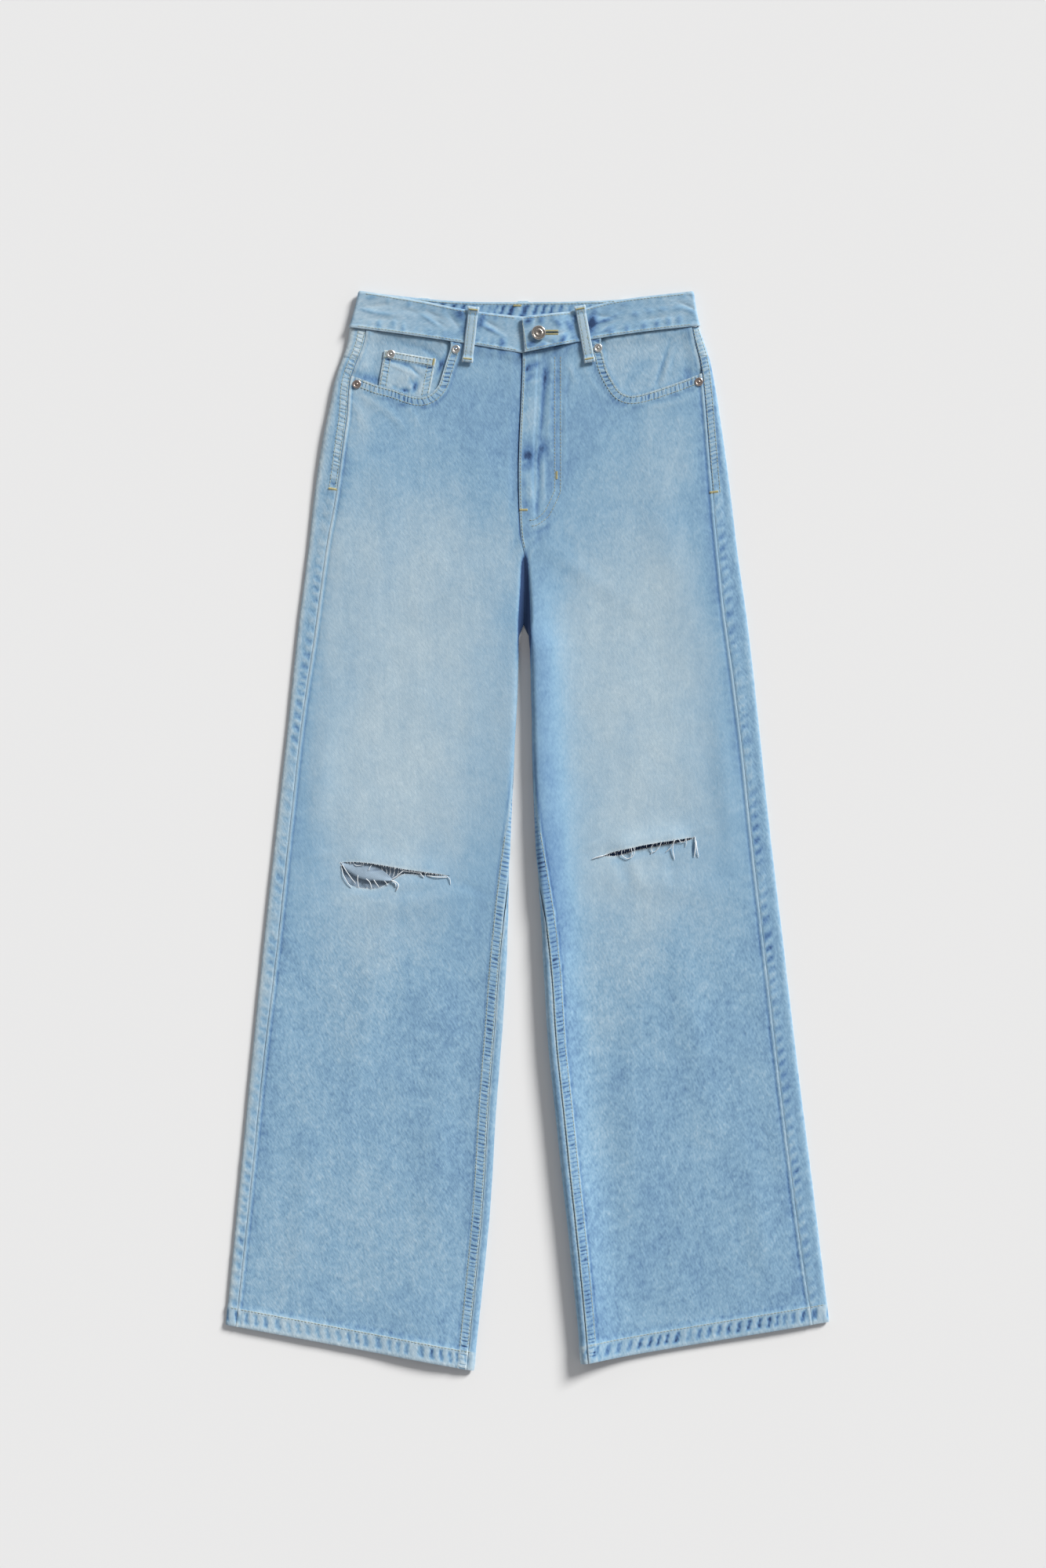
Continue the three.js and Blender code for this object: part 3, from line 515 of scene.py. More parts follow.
class Tree:
    """A short way to write a node tree: most calls add nodes and return their output."""

    def __init__(self, tree):
        self.tree = tree

    def feed(self, value, socket):
        """Links one socket to another, or sets a plain value on it."""
        if isinstance(value, bpy.types.NodeSocket):
            self.tree.links.new(value, socket)
        else:
            socket.default_value = value

    def node(self, kind, inputs=(), **settings):
        made = self.tree.nodes.new(kind)
        for name, value in settings.items():
            setattr(made, name, value)
        for name, value in dict(inputs).items():
            self.feed(value, made.inputs[name])
        return made

    def math(self, operation, first, second=0.0, third=0.0, clamp=False):
        made = self.node("ShaderNodeMath", {0: first, 1: second, 2: third}, operation=operation,
                         use_clamp=clamp)
        return made.outputs[0]

    def add(self, first, second):
        return self.math("ADD", first, second)

    def times(self, first, second):
        return self.math("MULTIPLY", first, second)

    def between(self, value, low, high):
        """The value turned from the range 0 to 1 into the range low to high."""
        made = self.node("ShaderNodeMapRange", {"Value": value, "To Min": low, "To Max": high})
        return made.outputs[0]

    def smooth(self, low, high, value):
        made = self.node("ShaderNodeMapRange", {"Value": value, "From Min": low, "From Max": high},
                         interpolation_type="SMOOTHSTEP")
        return made.outputs[0]

    def blend(self, factor, first, second):
        """The colour that lies a share of the way from the first to the second."""
        made = self.node("ShaderNodeMix", {0: factor}, data_type="RGBA")
        for index, value in ((6, first), (7, second)):
            is_socket = isinstance(value, bpy.types.NodeSocket)
            self.feed(value if is_socket else (*value[:3], 1), made.inputs[index])
        return made.outputs[2]

    def stretched(self, vector, scale, turn=0.0):
        """The vector with its axes scaled, turned by an angle first."""
        made = self.node("ShaderNodeMapping", {"Vector": vector}, vector_type="POINT")
        made.inputs["Rotation"].default_value = (0, 0, turn)
        scaled = self.node("ShaderNodeVectorMath", {0: made.outputs[0]}, operation="MULTIPLY")
        scaled.inputs[1].default_value = scale
        return scaled.outputs[0]

    def noise(self, vector, detail=2.0, roughness=0.5, scale=1.0):
        made = self.node("ShaderNodeTexNoise", {
            "Vector": vector, "Scale": scale, "Detail": detail, "Roughness": roughness},
            noise_dimensions="3D")
        return made.outputs["Fac"]

    def group(self, tree, inputs):
        return self.node("ShaderNodeGroup", inputs, node_tree=tree).outputs

    def attribute(self, name, output="Fac"):
        return self.node("ShaderNodeAttribute", attribute_name=name,
                         attribute_type="GEOMETRY").outputs[output]

    def place(self, output="Object"):
        return self.node("ShaderNodeTexCoord").outputs[output]


def new_group(name, inputs, outputs):
    """An empty shader node group with named sockets, and its input values."""
    group = bpy.data.node_groups.new(name, "ShaderNodeTree")
    for label, kind, default in inputs:
        socket = group.interface.new_socket(name=label, in_out="INPUT", socket_type=kind)
        if default is not None:
            socket.default_value = default
    for label, kind in outputs:
        group.interface.new_socket(name=label, in_out="OUTPUT", socket_type=kind)
    tree = Tree(group)
    return tree, tree.node("NodeGroupInput").outputs, tree.node("NodeGroupOutput").inputs


def shared(name, make):
    """A node group or material that is made the first time it is asked for."""
    found = bpy.data.node_groups.get(name) or bpy.data.materials.get(name)
    return found or make()


def twill_weave():
    """Diagonal twill lines broken into yarns, as a tone around 0 and a height in millimetres."""
    tree, given, gives = new_group(
        "Twill Weave",
        [("Vector", "NodeSocketVector", None), ("Wale", "NodeSocketFloat", 0.0011),
         ("Depth", "NodeSocketFloat", 0.1)],
        [("Tone", "NodeSocketFloat"), ("Height", "NodeSocketFloat")])
    wobble = tree.times(tree.noise(tree.stretched(given["Vector"], (300, 120, 300)), 1.0), 0.9)
    apart = tree.node("ShaderNodeSeparateXYZ", {0: given["Vector"]}).outputs
    slant = tree.add(tree.times(apart[0], 0.88), tree.times(apart[1], -0.47))
    phase = tree.add(tree.math("DIVIDE", slant, given["Wale"]), wobble)
    wale = tree.math("SINE", tree.times(phase, TURN))
    yarns = tree.noise(tree.stretched(given["Vector"], (1900, 700, 1900)), 1.0)
    tone = tree.add(tree.times(wale, 0.35), tree.math("SUBTRACT", yarns, 0.5))
    tree.feed(tone, gives["Tone"])
    tree.feed(tree.times(tone, given["Depth"]), gives["Height"])
    return tree.tree


def worn_wash():
    """The uneven fading of washed indigo: clouds, mottling, warp streaks and short slubs."""
    tree, given, gives = new_group(
        "Worn Wash",
        [("Vector", "NodeSocketVector", None), ("Wash", "NodeSocketFloat", 0.5),
         ("Mottle", "NodeSocketFloat", 1.0),
         ("Streak", "NodeSocketFloat", 1.0)],
        [("Wash", "NodeSocketFloat"), ("Shade", "NodeSocketFloat"), ("Height", "NodeSocketFloat")])
    place = given["Vector"]

    def about_zero(strength, scale, turn=0.0, detail=1.0, roughness=0.5):
        value = tree.noise(tree.stretched(place, scale, turn), detail, roughness)
        return tree.times(tree.math("SUBTRACT", value, 0.5), strength)

    clouds = about_zero(0.26, (24, 17, 24), detail=2.0)
    mottle = about_zero(0.52, (125, 95, 125), 0.35, 2.0, 0.64)
    slubs = about_zero(0.46, (480, 170, 480), -0.42)
    slubs_back = about_zero(0.30, (430, 160, 430), 0.55)
    streaks = about_zero(0.14, (560, 45, 560), detail=2.0)
    wide_streaks = about_zero(0.13, (95, 9, 95))
    broken = tree.add(slubs, tree.add(slubs_back, mottle))
    lines = tree.add(streaks, wide_streaks)
    change = tree.add(tree.times(broken, given["Mottle"]), tree.times(lines, given["Streak"]))
    total = tree.add(given["Wash"], tree.add(tree.times(change, 0.62), clouds))
    tree.feed(total, gives["Wash"])
    tree.feed(tree.math("MULTIPLY_ADD", change, 0.38, 1.0), gives["Shade"])
    tree.feed(tree.times(change, 0.5), gives["Height"])
    return tree.tree


def seam_ladder():
    """Little rungs pulled across a double-stitched seam. Seam holds metres along it and metres across it."""
    tree, given, gives = new_group(
        "Seam Ladder",
        [("Seam", "NodeSocketVector", None), ("Mask", "NodeSocketFloat", 0.0),
         ("Spacing", "NodeSocketFloat", 0.0046)],
        [("Tone", "NodeSocketFloat"), ("Height", "NodeSocketFloat")])
    apart = tree.node("ShaderNodeSeparateXYZ", {0: given["Seam"]}).outputs
    flat = tree.node("ShaderNodeCombineXYZ", {0: apart[0], 1: 0.0, 2: 0.0}).outputs[0]
    drift = tree.times(tree.noise(flat, 1.0, 0.5, 130), 1.5)
    patch = tree.smooth(0.36, 0.62, tree.noise(flat, 1.0, 0.5, 42))
    phase = tree.add(tree.math("DIVIDE", apart[0], given["Spacing"]), drift)
    skewed = tree.add(phase, tree.times(apart[1], 55))
    rung = tree.smooth(-0.1, 0.85, tree.math("SINE", tree.times(skewed, TURN)))
    depth = tree.times(rung, tree.add(tree.times(patch, 0.60), 0.50))
    recess = tree.times(depth, given["Mask"])
    tree.feed(tree.times(recess, -1), gives["Tone"])
    tree.feed(tree.times(recess, -0.35), gives["Height"])
    return tree.tree


def indigo_shade(colours):
    """Turns a wash value from 0, unfaded, to 1, bleached, into a colour."""
    tree, given, gives = new_group(
        "Indigo Shade", [("Wash", "NodeSocketFloat", 0.5)], [("Colour", "NodeSocketColor")])
    steps = [(0.0, 0.18, colours.indigo), (0.18, 0.50, colours.washed), (0.50, 0.86, colours.faded),
             (0.86, 1.15, colours.bleached)]
    shade = tree.blend(0.0, colours.navy, colours.navy)
    for low, high, colour in steps:
        made = tree.node("ShaderNodeMapRange", {"Value": given["Wash"], "From Min": low, "From Max": high})
        shade = tree.blend(made.outputs[0], shade, colour)
    tree.feed(shade, gives["Colour"])
    return tree.tree


def new_material(name):
    material = bpy.data.materials.new(name)
    material.use_nodes = True
    return material, Tree(material.node_tree), material.node_tree.nodes["Principled BSDF"]


def finish_shader(tree, shader, inputs):
    """Feeds what changes over the surface to the shader, and sets its plain values on its own sockets."""
    for name, value in inputs.items():
        tree.feed(value, shader.inputs[name])


def scaled(colour, share):
    """A colour made lighter or darker."""
    return tuple(min(1, share * part) for part in colour)


def bump(tree, height, strength=1.0):
    """A normal for the shader from a height in millimetres."""
    return tree.node("ShaderNodeBump", {"Height": height, "Distance": MM, "Strength": strength}).outputs[0]


def denim_face(context):
    """The right side of the denim, with its fades, seams and weave."""
    def make():
        material, tree, shader = new_material("washed denim")
        cloth = tree.attribute("cloth", "Vector")
        weave = tree.group(shared("Twill Weave", twill_weave), {
            "Vector": cloth, "Wale": context.scene.jeans_cloth.wale, "Depth": 0.10})
        ladder = tree.group(shared("Seam Ladder", seam_ladder), {
            "Seam": tree.attribute("seam", "Vector"), "Mask": tree.attribute("ladder")})
        wear = tree.group(shared("Worn Wash", worn_wash), {
            "Vector": cloth, "Wash": tree.attribute("wash"), "Mottle": tree.attribute("mottle"),
            "Streak": 1.0})
        relief = tree.add(tree.times(ladder["Tone"], 0.40), tree.times(weave["Tone"], 0.08))
        wash = tree.add(wear["Wash"], relief)
        shade = tree.group(shared("Indigo Shade", lambda: indigo_shade(context.scene.jeans_colours)),
                           {"Wash": wash})
        shaded = tree.node("ShaderNodeVectorMath", {0: shade["Colour"], 1: wear["Shade"]},
                           operation="MULTIPLY")
        height = tree.add(weave["Height"], tree.add(ladder["Height"], wear["Height"]))
        finish_shader(tree, shader, {
            "Base Color": shaded.outputs[0], "Roughness": tree.between(wash, 0.82, 0.96),
            "Normal": bump(tree, height, 0.8),
            "Specular IOR Level": 0.12, "Sheen Weight": 0.10, "Sheen Roughness": 0.5})
        return material
    return shared("washed denim", make)


def denim_wrong_side(context):
    """The inside of the cloth, where the white weft shows over pale indigo."""
    def make():
        material, tree, shader = new_material("denim wrong side")
        colours = context.scene.jeans_colours
        cloth = tree.attribute("cloth", "Vector")
        weave = tree.group(shared("Twill Weave", twill_weave), {
            "Vector": cloth, "Wale": context.scene.jeans_cloth.wale, "Depth": 0.12})
        wear = tree.group(shared("Worn Wash", worn_wash), {
            "Vector": cloth, "Wash": 0.5, "Mottle": 0.6, "Streak": 0.4})
        tone = tree.add(wear["Wash"], tree.times(weave["Tone"], 0.35))
        pale = tree.blend(tree.smooth(0.15, 0.95, tone), scaled(colours.wrong, 0.66),
                          scaled(colours.wrong, 1.18))
        finish_shader(tree, shader, {
            # The depth value blends the wrong side towards navy: painted shade inside the legs, deepest under
            # the rips and in the cleft.
            "Base Color": tree.blend(tree.attribute("depth"), pale, colours.navy),
            "Roughness": tree.between(tone, 0.86, 0.97), "Normal": bump(tree, weave["Height"], 0.8),
            "Specular IOR Level": 0.1})
        return material
    return shared("denim wrong side", make)


def thread_material(name, colour):
    """Twisted cotton thread: the twist as fine slanted ridges, and a little fading along its length."""
    def make():
        material, tree, shader = new_material(name)
        twist = tree.noise(tree.stretched(tree.place(), (2600, 900, 2600), 0.6), 1.0)
        fade = tree.noise(tree.place(), 2.0, 0.5, 60)
        tone = tree.add(tree.times(twist, 0.5), tree.times(fade, 0.5))
        finish_shader(tree, shader, {
            "Base Color": tree.blend(tree.smooth(0.3, 0.7, tone), scaled(colour, 0.78), scaled(colour, 1.12)),
            "Roughness": tree.between(tone, 0.7, 0.9), "Normal": bump(tree, tree.times(twist, 0.12), 0.6),
            "Specular IOR Level": 0.2})
        return material
    return shared(name, make)


def worn_metal(name, colour, wear_scale, tarnish):
    """Plated metal, polished where it is rubbed and dull with tarnish in its hollows."""
    def make():
        material, tree, shader = new_material(name)
        patches = tree.noise(tree.place(), 3.0, 0.6, wear_scale)
        stain = tree.math("SUBTRACT", patches, 0.52)
        grime = tree.math("ADD", tree.times(tree.attribute("hollow"), 0.8), stain, clamp=True)
        scratches = tree.noise(tree.stretched(tree.place(), (900, 4200, 900), 0.4), 2.0)
        relief = tree.times(tree.add(scratches, patches), 0.05)
        finish_shader(tree, shader, {
            "Base Color": tree.blend(tree.times(grime, tarnish), colour, scaled(colour, 0.16)),
            "Roughness": tree.add(0.24, tree.times(grime, 0.45)), "Normal": bump(tree, relief, 0.5),
            "Metallic": 1.0})
        return material
    return shared(name, make)


def zip_tape_material():
    """Woven tape with a fine herringbone."""
    material, tree, shader = new_material("zip tape")
    weave = tree.group(shared("Twill Weave", twill_weave),
                       {"Vector": tree.place(), "Wale": 0.0008, "Depth": 0.06})
    finish_shader(tree, shader, {
        "Base Color": tree.blend(tree.smooth(-0.4, 0.4, weave["Tone"]), (0.22, 0.26, 0.30),
                                 (0.36, 0.40, 0.44)),
        "Roughness": tree.between(weave["Tone"], 0.75, 0.9), "Normal": bump(tree, weave["Height"])})
    return material


def floor_material():
    """A matt pale board."""
    material, tree, shader = new_material("pale floor")
    tone = tree.noise(tree.place(), 2.0, 0.5, 3)
    finish_shader(tree, shader, {
        "Base Color": tree.blend(tone, (0.803, 0.803, 0.803), (0.809, 0.809, 0.809)),
        "Roughness": 0.95, "Specular IOR Level": 0.0})
    return material


# ---------------------------------------------------------------------------------------------------------
# Cloth shells.
# ---------------------------------------------------------------------------------------------------------

RIM = 0.55


def put(name, mesh, materials, body="root"):
    """Adds a mesh to the scene as a piece with its materials, riding on a body."""
    for material in materials:
        mesh.materials.append(material)
    piece = bpy.data.objects.new(name, mesh)
    bpy.context.scene.collection.objects.link(piece)
    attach(piece, body)
    return piece


def mesh_of(name, points, faces, sharp_over=50):
    """A smooth-shaded mesh from places in millimetres, with hard edges where its faces meet steeply."""
    mesh = bpy.data.meshes.new(name)
    mesh.from_pydata(np.asarray(points) * MM, [], faces)
    mesh.update()
    mesh.shade_smooth()
    mesh.set_sharp_from_angle(angle=np.radians(sharp_over))
    return mesh


def paint(mesh, name, values):
    """Keeps one value, or one vector, for each vertex of a mesh."""
    values = np.asarray(values, dtype=np.float32)
    if values.ndim == 1:
        mesh.attributes.new(name, "FLOAT", "POINT").data.foreach_set("value", values)
    else:
        mesh.attributes.new(name, "FLOAT_VECTOR", "POINT").data.foreach_set("vector", values.ravel())


def slopes(grid):
    """The unit normals of a grid of places, on the side of columns crossed with rows."""
    columns = np.gradient(grid, axis=1)
    rows = np.gradient(grid, axis=0)
    normal = np.cross(columns, rows)
    return normal / np.maximum(np.linalg.norm(normal, axis=-1, keepdims=True), 1e-9)


def cloth_shell(name, middle, wall, side, looks, materials, kept=None):
    """A closed shell of cloth around a grid of middle places.

    side is 1 or -1, the side of the grid that faces out. looks maps the names of surface values to grids or
    plain values. materials holds the right side's one and, where it differs, the wrong side's.
    kept says which cells are cloth. The rims thin a little, as the turned edge of real cloth does.
    """
    rows, columns = middle.shape[:2]
    if kept is None:
        kept = np.ones((rows - 1, columns - 1), dtype=bool)
    edge = np.ones((rows, columns))
    edge[:, [0, -1]] = RIM
    edge[[0, -1], :] = RIM
    half = np.asarray(wall, dtype=float) / 2 * edge
    normal = slopes(middle) * side
    outer = middle + normal * half[..., None]
    inner = middle - normal * half[..., None]
    numbers = np.arange(rows * columns).reshape(rows, columns)
    corners = np.stack([numbers[:-1, :-1], numbers[:-1, 1:], numbers[1:, 1:], numbers[1:, :-1]], axis=-1)
    if side < 0:
        corners = corners[..., ::-1]
    top = corners[kept]
    bottom = top[:, ::-1] + rows * columns
    padded = np.pad(kept, 1)
    walls = []
    for first, second, beyond in (((0, 0), (0, 1), padded[:-2, 1:-1]), ((0, 1), (1, 1), padded[1:-1, 2:]),
                                  ((1, 1), (1, 0), padded[2:, 1:-1]), ((1, 0), (0, 0), padded[1:-1, :-2])):
        j, i = np.nonzero(kept & ~beyond)
        start, end = numbers[j + first[0], i + first[1]], numbers[j + second[0], i + second[1]]
        quad = np.stack([start, start + rows * columns, end + rows * columns, end], axis=-1)
        walls.append(quad if side > 0 else quad[:, ::-1])
    walls = np.concatenate(walls)
    used, faces = np.unique(np.concatenate([top, bottom, walls]), return_inverse=True)
    places = np.concatenate([outer.reshape(-1, 3), inner.reshape(-1, 3)])[used]
    faces = faces.reshape(-1, 4)
    mesh = mesh_of(name, places, faces)
    if len(materials) > 1:
        is_wrong_side = np.repeat([0, 1, 0], [len(top), len(bottom), len(walls)])
        mesh.polygons.foreach_set("material_index", is_wrong_side.astype(np.int32))
    for label, values in looks.items():
        values = np.broadcast_to(values, (rows, columns) + np.shape(values)[2:])
        flat = values.reshape(rows * columns, *values.shape[2:])
        paint(mesh, label, np.concatenate([flat, flat])[used])
    return put(name, mesh, materials)


def denim(context):
    """Both sides of the cloth."""
    return [denim_face(context), denim_wrong_side(context)]


def replacing(piece, node):
    """Hides a node's solid, since the piece is its detailed form."""
    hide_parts(node)
    return piece


def with_marks(marks, x, y, wash, rise, crease, where=1):
    """The wash and relief with creases and marks added, whose wash changes are worn fades and painted shade.
    """
    for mark in marks:
        nearness = oblong(x, y, mark) * where
        wash = wash + mark[6] * nearness
        rise = rise + mark[5] * nearness * crease
    return wash, rise


def grain(across, down, offset=0.0):
    """Cloth coordinates in metres for the weave: across the warp and along it."""
    across, down = np.broadcast_arrays(across, down)
    return np.stack([across * MM, down * MM, np.full(across.shape, offset)], axis=-1)


def centre_of(node):
    """The middle of a node seen from above, and its lowest and highest places, in millimetres."""
    low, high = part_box(node)
    return (low[0] + high[0]) / 2 / MM, (low[1] + high[1]) / 2 / MM, low[2] / MM, high[2] / MM


def lifted(plan, level):
    """Places on a plan, all at one height."""
    return np.concatenate([plan, np.full(plan.shape[:2] + (1,), level)], axis=-1)


def seam_place(travelled, across):
    """Places along and across a seam, in metres, as vectors for the shader."""
    travelled, across = np.broadcast_arrays(travelled, across)
    return np.stack([travelled * MM, across * MM, np.zeros(across.shape)], axis=-1)


def uneven_rungs(travelled, spacing, seed):
    """A wave along a seam whose rungs are unevenly spaced and unevenly deep, from 0 to 1."""
    drift = lumps(travelled, 0, spacing * 2.6, seed) * 0.55
    depth = 0.62 + 0.38 * lumps(travelled, 0, spacing * 3.1, seed + 1)
    wave = np.sin(2 * np.pi * (travelled / spacing + drift))
    return np.clip(0.5 + 0.5 * wave, 0, 1) * depth


def trim(grid_x, grid_y, outline, middle):
    """Takes away the cells inside an outline and draws the cells' edges onto it."""
    distance, near_x, near_y = signed_distance(grid_x, grid_y, outline)
    inner = (distance[:-1, :-1] + distance[1:, :-1] + distance[1:, 1:] + distance[:-1, 1:]) / 4 < 0
    kept = ~inner
    touches_gap = np.zeros(distance.shape, dtype=bool)
    touches_cloth = np.zeros(distance.shape, dtype=bool)
    for dj in (0, 1):
        for di in (0, 1):
            window = (slice(dj, distance.shape[0] - 1 + dj), slice(di, distance.shape[1] - 1 + di))
            touches_gap[window] |= inner
            touches_cloth[window] |= kept
    moved = touches_gap & touches_cloth
    middle[..., 0] = np.where(moved, near_x, middle[..., 0])
    middle[..., 1] = np.where(moved, near_y, middle[..., 1])
    return kept, np.where(moved, 0.0, distance)


# ---------------------------------------------------------------------------------------------------------
# Leg panels.
# ---------------------------------------------------------------------------------------------------------

LEG_ROWS = 292
HEM_ROWS = 14
LEG_LINES = np.concatenate([np.linspace(0, HEM_START, LEG_ROWS), np.linspace(HEM_START, 1, HEM_ROWS + 1)[1:]])
HEM_DEPTH = 20
RIP_REACH = 12
SIDE_SHARE = 0.035
FLAT_SHARE = 0.965


def scoop_outline(leg, shift=0.0):
    """The mouth of a front pocket, closed round the corner of the panel that it takes away."""
    edge = smooth_line(leg.scoop, 30) + np.array([-leg.toward * shift, shift])
    side = -leg.toward * PAST_HIP
    ends = [(side, edge[-1, 1] + 4), (side, PAST_WAIST), (edge[0, 0], PAST_WAIST)]
    return np.vstack([edge, ends])


def front_stations():
    """Shares across a front panel's flat, closer near the side seam and fly, and round its inner edge."""
    side = np.linspace(0, 0.045, 8)
    middle = np.linspace(0.045, 0.80, 76)
    fly = np.linspace(0.80, 1, 26)
    flat = np.concatenate([side, middle[1:], fly[1:]])
    return flat, np.linspace(1, 0, 13)[1:]


def front_middle(leg, v, flat, inner):
    """The middle of a front panel's cloth, from the side seam to the fly or the inseam."""
    rows = rows_at(leg, v[:, :len(flat)])
    place = mix(outseam_inset(rows) + SEAM_GAP / 2, rows.width - INNER_FLAT, flat)
    body = ring_point(rows, False, arc_of_inset(place))
    edge_rows = rows_at(leg, v[:, len(flat):])
    at_centre = centre_point(edge_rows, SEAM_GAP / 2 + INNER_FLAT * inner)
    arc, half = inseam(edge_rows)
    on_leg = ring_point(edge_rows, True, mix(arc + half, INNER_FLAT, inner))
    edge = blend_to_leg(edge_rows.v, at_centre, on_leg)
    return np.concatenate([body, edge], axis=1)


def leg_length(leg, share):
    """The height that the rows of a leg fall through, at a share across it."""
    return mix(leg.waist_outer - leg.hem_outer, WAIST_INNER - leg.hem_inner, share)


def rip_lines(leg, v, flat, inner):
    """Bends two rows onto the lips of the knee rip. Returns v, the upper row and the torn columns."""
    upper, lower = np.array(leg.rip_upper, dtype=float), np.array(leg.rip_lower, dtype=float)
    middle_y = (upper[:, 1].mean() + lower[:, 1].mean()) / 2
    share = np.concatenate([mix(SIDE_SHARE, FLAT_SHARE, flat), np.ones(len(inner))])
    fall = leg_length(leg, share)

    def v_of(height):
        drop = leg.waist_outer - height - (leg.waist_outer - WAIST_INNER) * share
        return drop / fall

    centre = v.shape[1] // 2
    row = int(np.argmin(np.abs(v[:, centre] - v_of(middle_y)[centre])))
    x = front_middle(leg, v, flat, inner)[row, :, 0]
    left, right = upper[0, 0], upper[-1, 0]
    held = np.clip(x, left, right)
    upper_y = along(leg.rip_upper, held)
    lower_y = np.minimum(along(leg.rip_lower, held), upper_y)
    torn = (x > left) & (x < right)
    tip_y = (upper_y + lower_y) / 2
    upper_y, lower_y = np.where(torn, upper_y, tip_y), np.where(torn, lower_y, tip_y)
    near = 1 - soft(0, 42, np.abs(x - held))
    bent = v.copy()
    for distance in range(RIP_REACH):
        hold = near * (1 - soft(0, RIP_REACH, distance))
        bent[row - distance] += (v_of(upper_y) - v[row]) * hold
        bent[row + 1 + distance] += (v_of(lower_y) - v[row + 1]) * hold
    return bent, row, torn[:-1] | torn[1:]


def hem_rope(travelled, above_edge, seed):
    """The blue recesses (1) that the rope-like twist of a washed hem leaves between its pale ridges (0)."""
    skewed = travelled + above_edge * (0.15 + 0.20 * lumps(travelled, 0, 60, seed + 2))
    phase = skewed / 10.5 + 0.32 * lumps(skewed, 0, 21, seed)
    recess = soft(0.38, 0.88, 0.5 + 0.5 * np.sin(2 * np.pi * phase))
    recess *= 0.72 + 0.28 * lumps(travelled, 0, 17, seed + 1)
    return recess * soft(2.5, 7.0, above_edge) * (1 - soft(HEM_DEPTH - 5.5, HEM_DEPTH - 2.5, above_edge))


def above_hem(rows, share):
    """The distance from the hem's edge up the leg."""
    return (1 - rows.v) * leg_length(rows.leg, share)


def leg_fade(leg, x, y):
    """The wash of a leg's front, with its faded thighs and knees."""
    wash = np.full(np.shape(x), BASE_WASH)
    for middle_x, middle_y, half_width, half_length, change in FADES[leg.side]:
        reach = np.hypot((x - middle_x) / half_width, (y - middle_y) / half_length)
        wash = wash + change * (1 - soft(0.30, 1.30, reach))
    return wash


def ripples(x, y, seed):
    """The slight unevenness of washed cloth lying flat, in millimetres."""
    large = 0.30 * lumps(x, y * 0.7, 46, seed) + 0.13 * lumps(x, y * 0.8, 19, seed + 1)
    return large + 0.05 * lumps(x, y, 8, seed + 2)


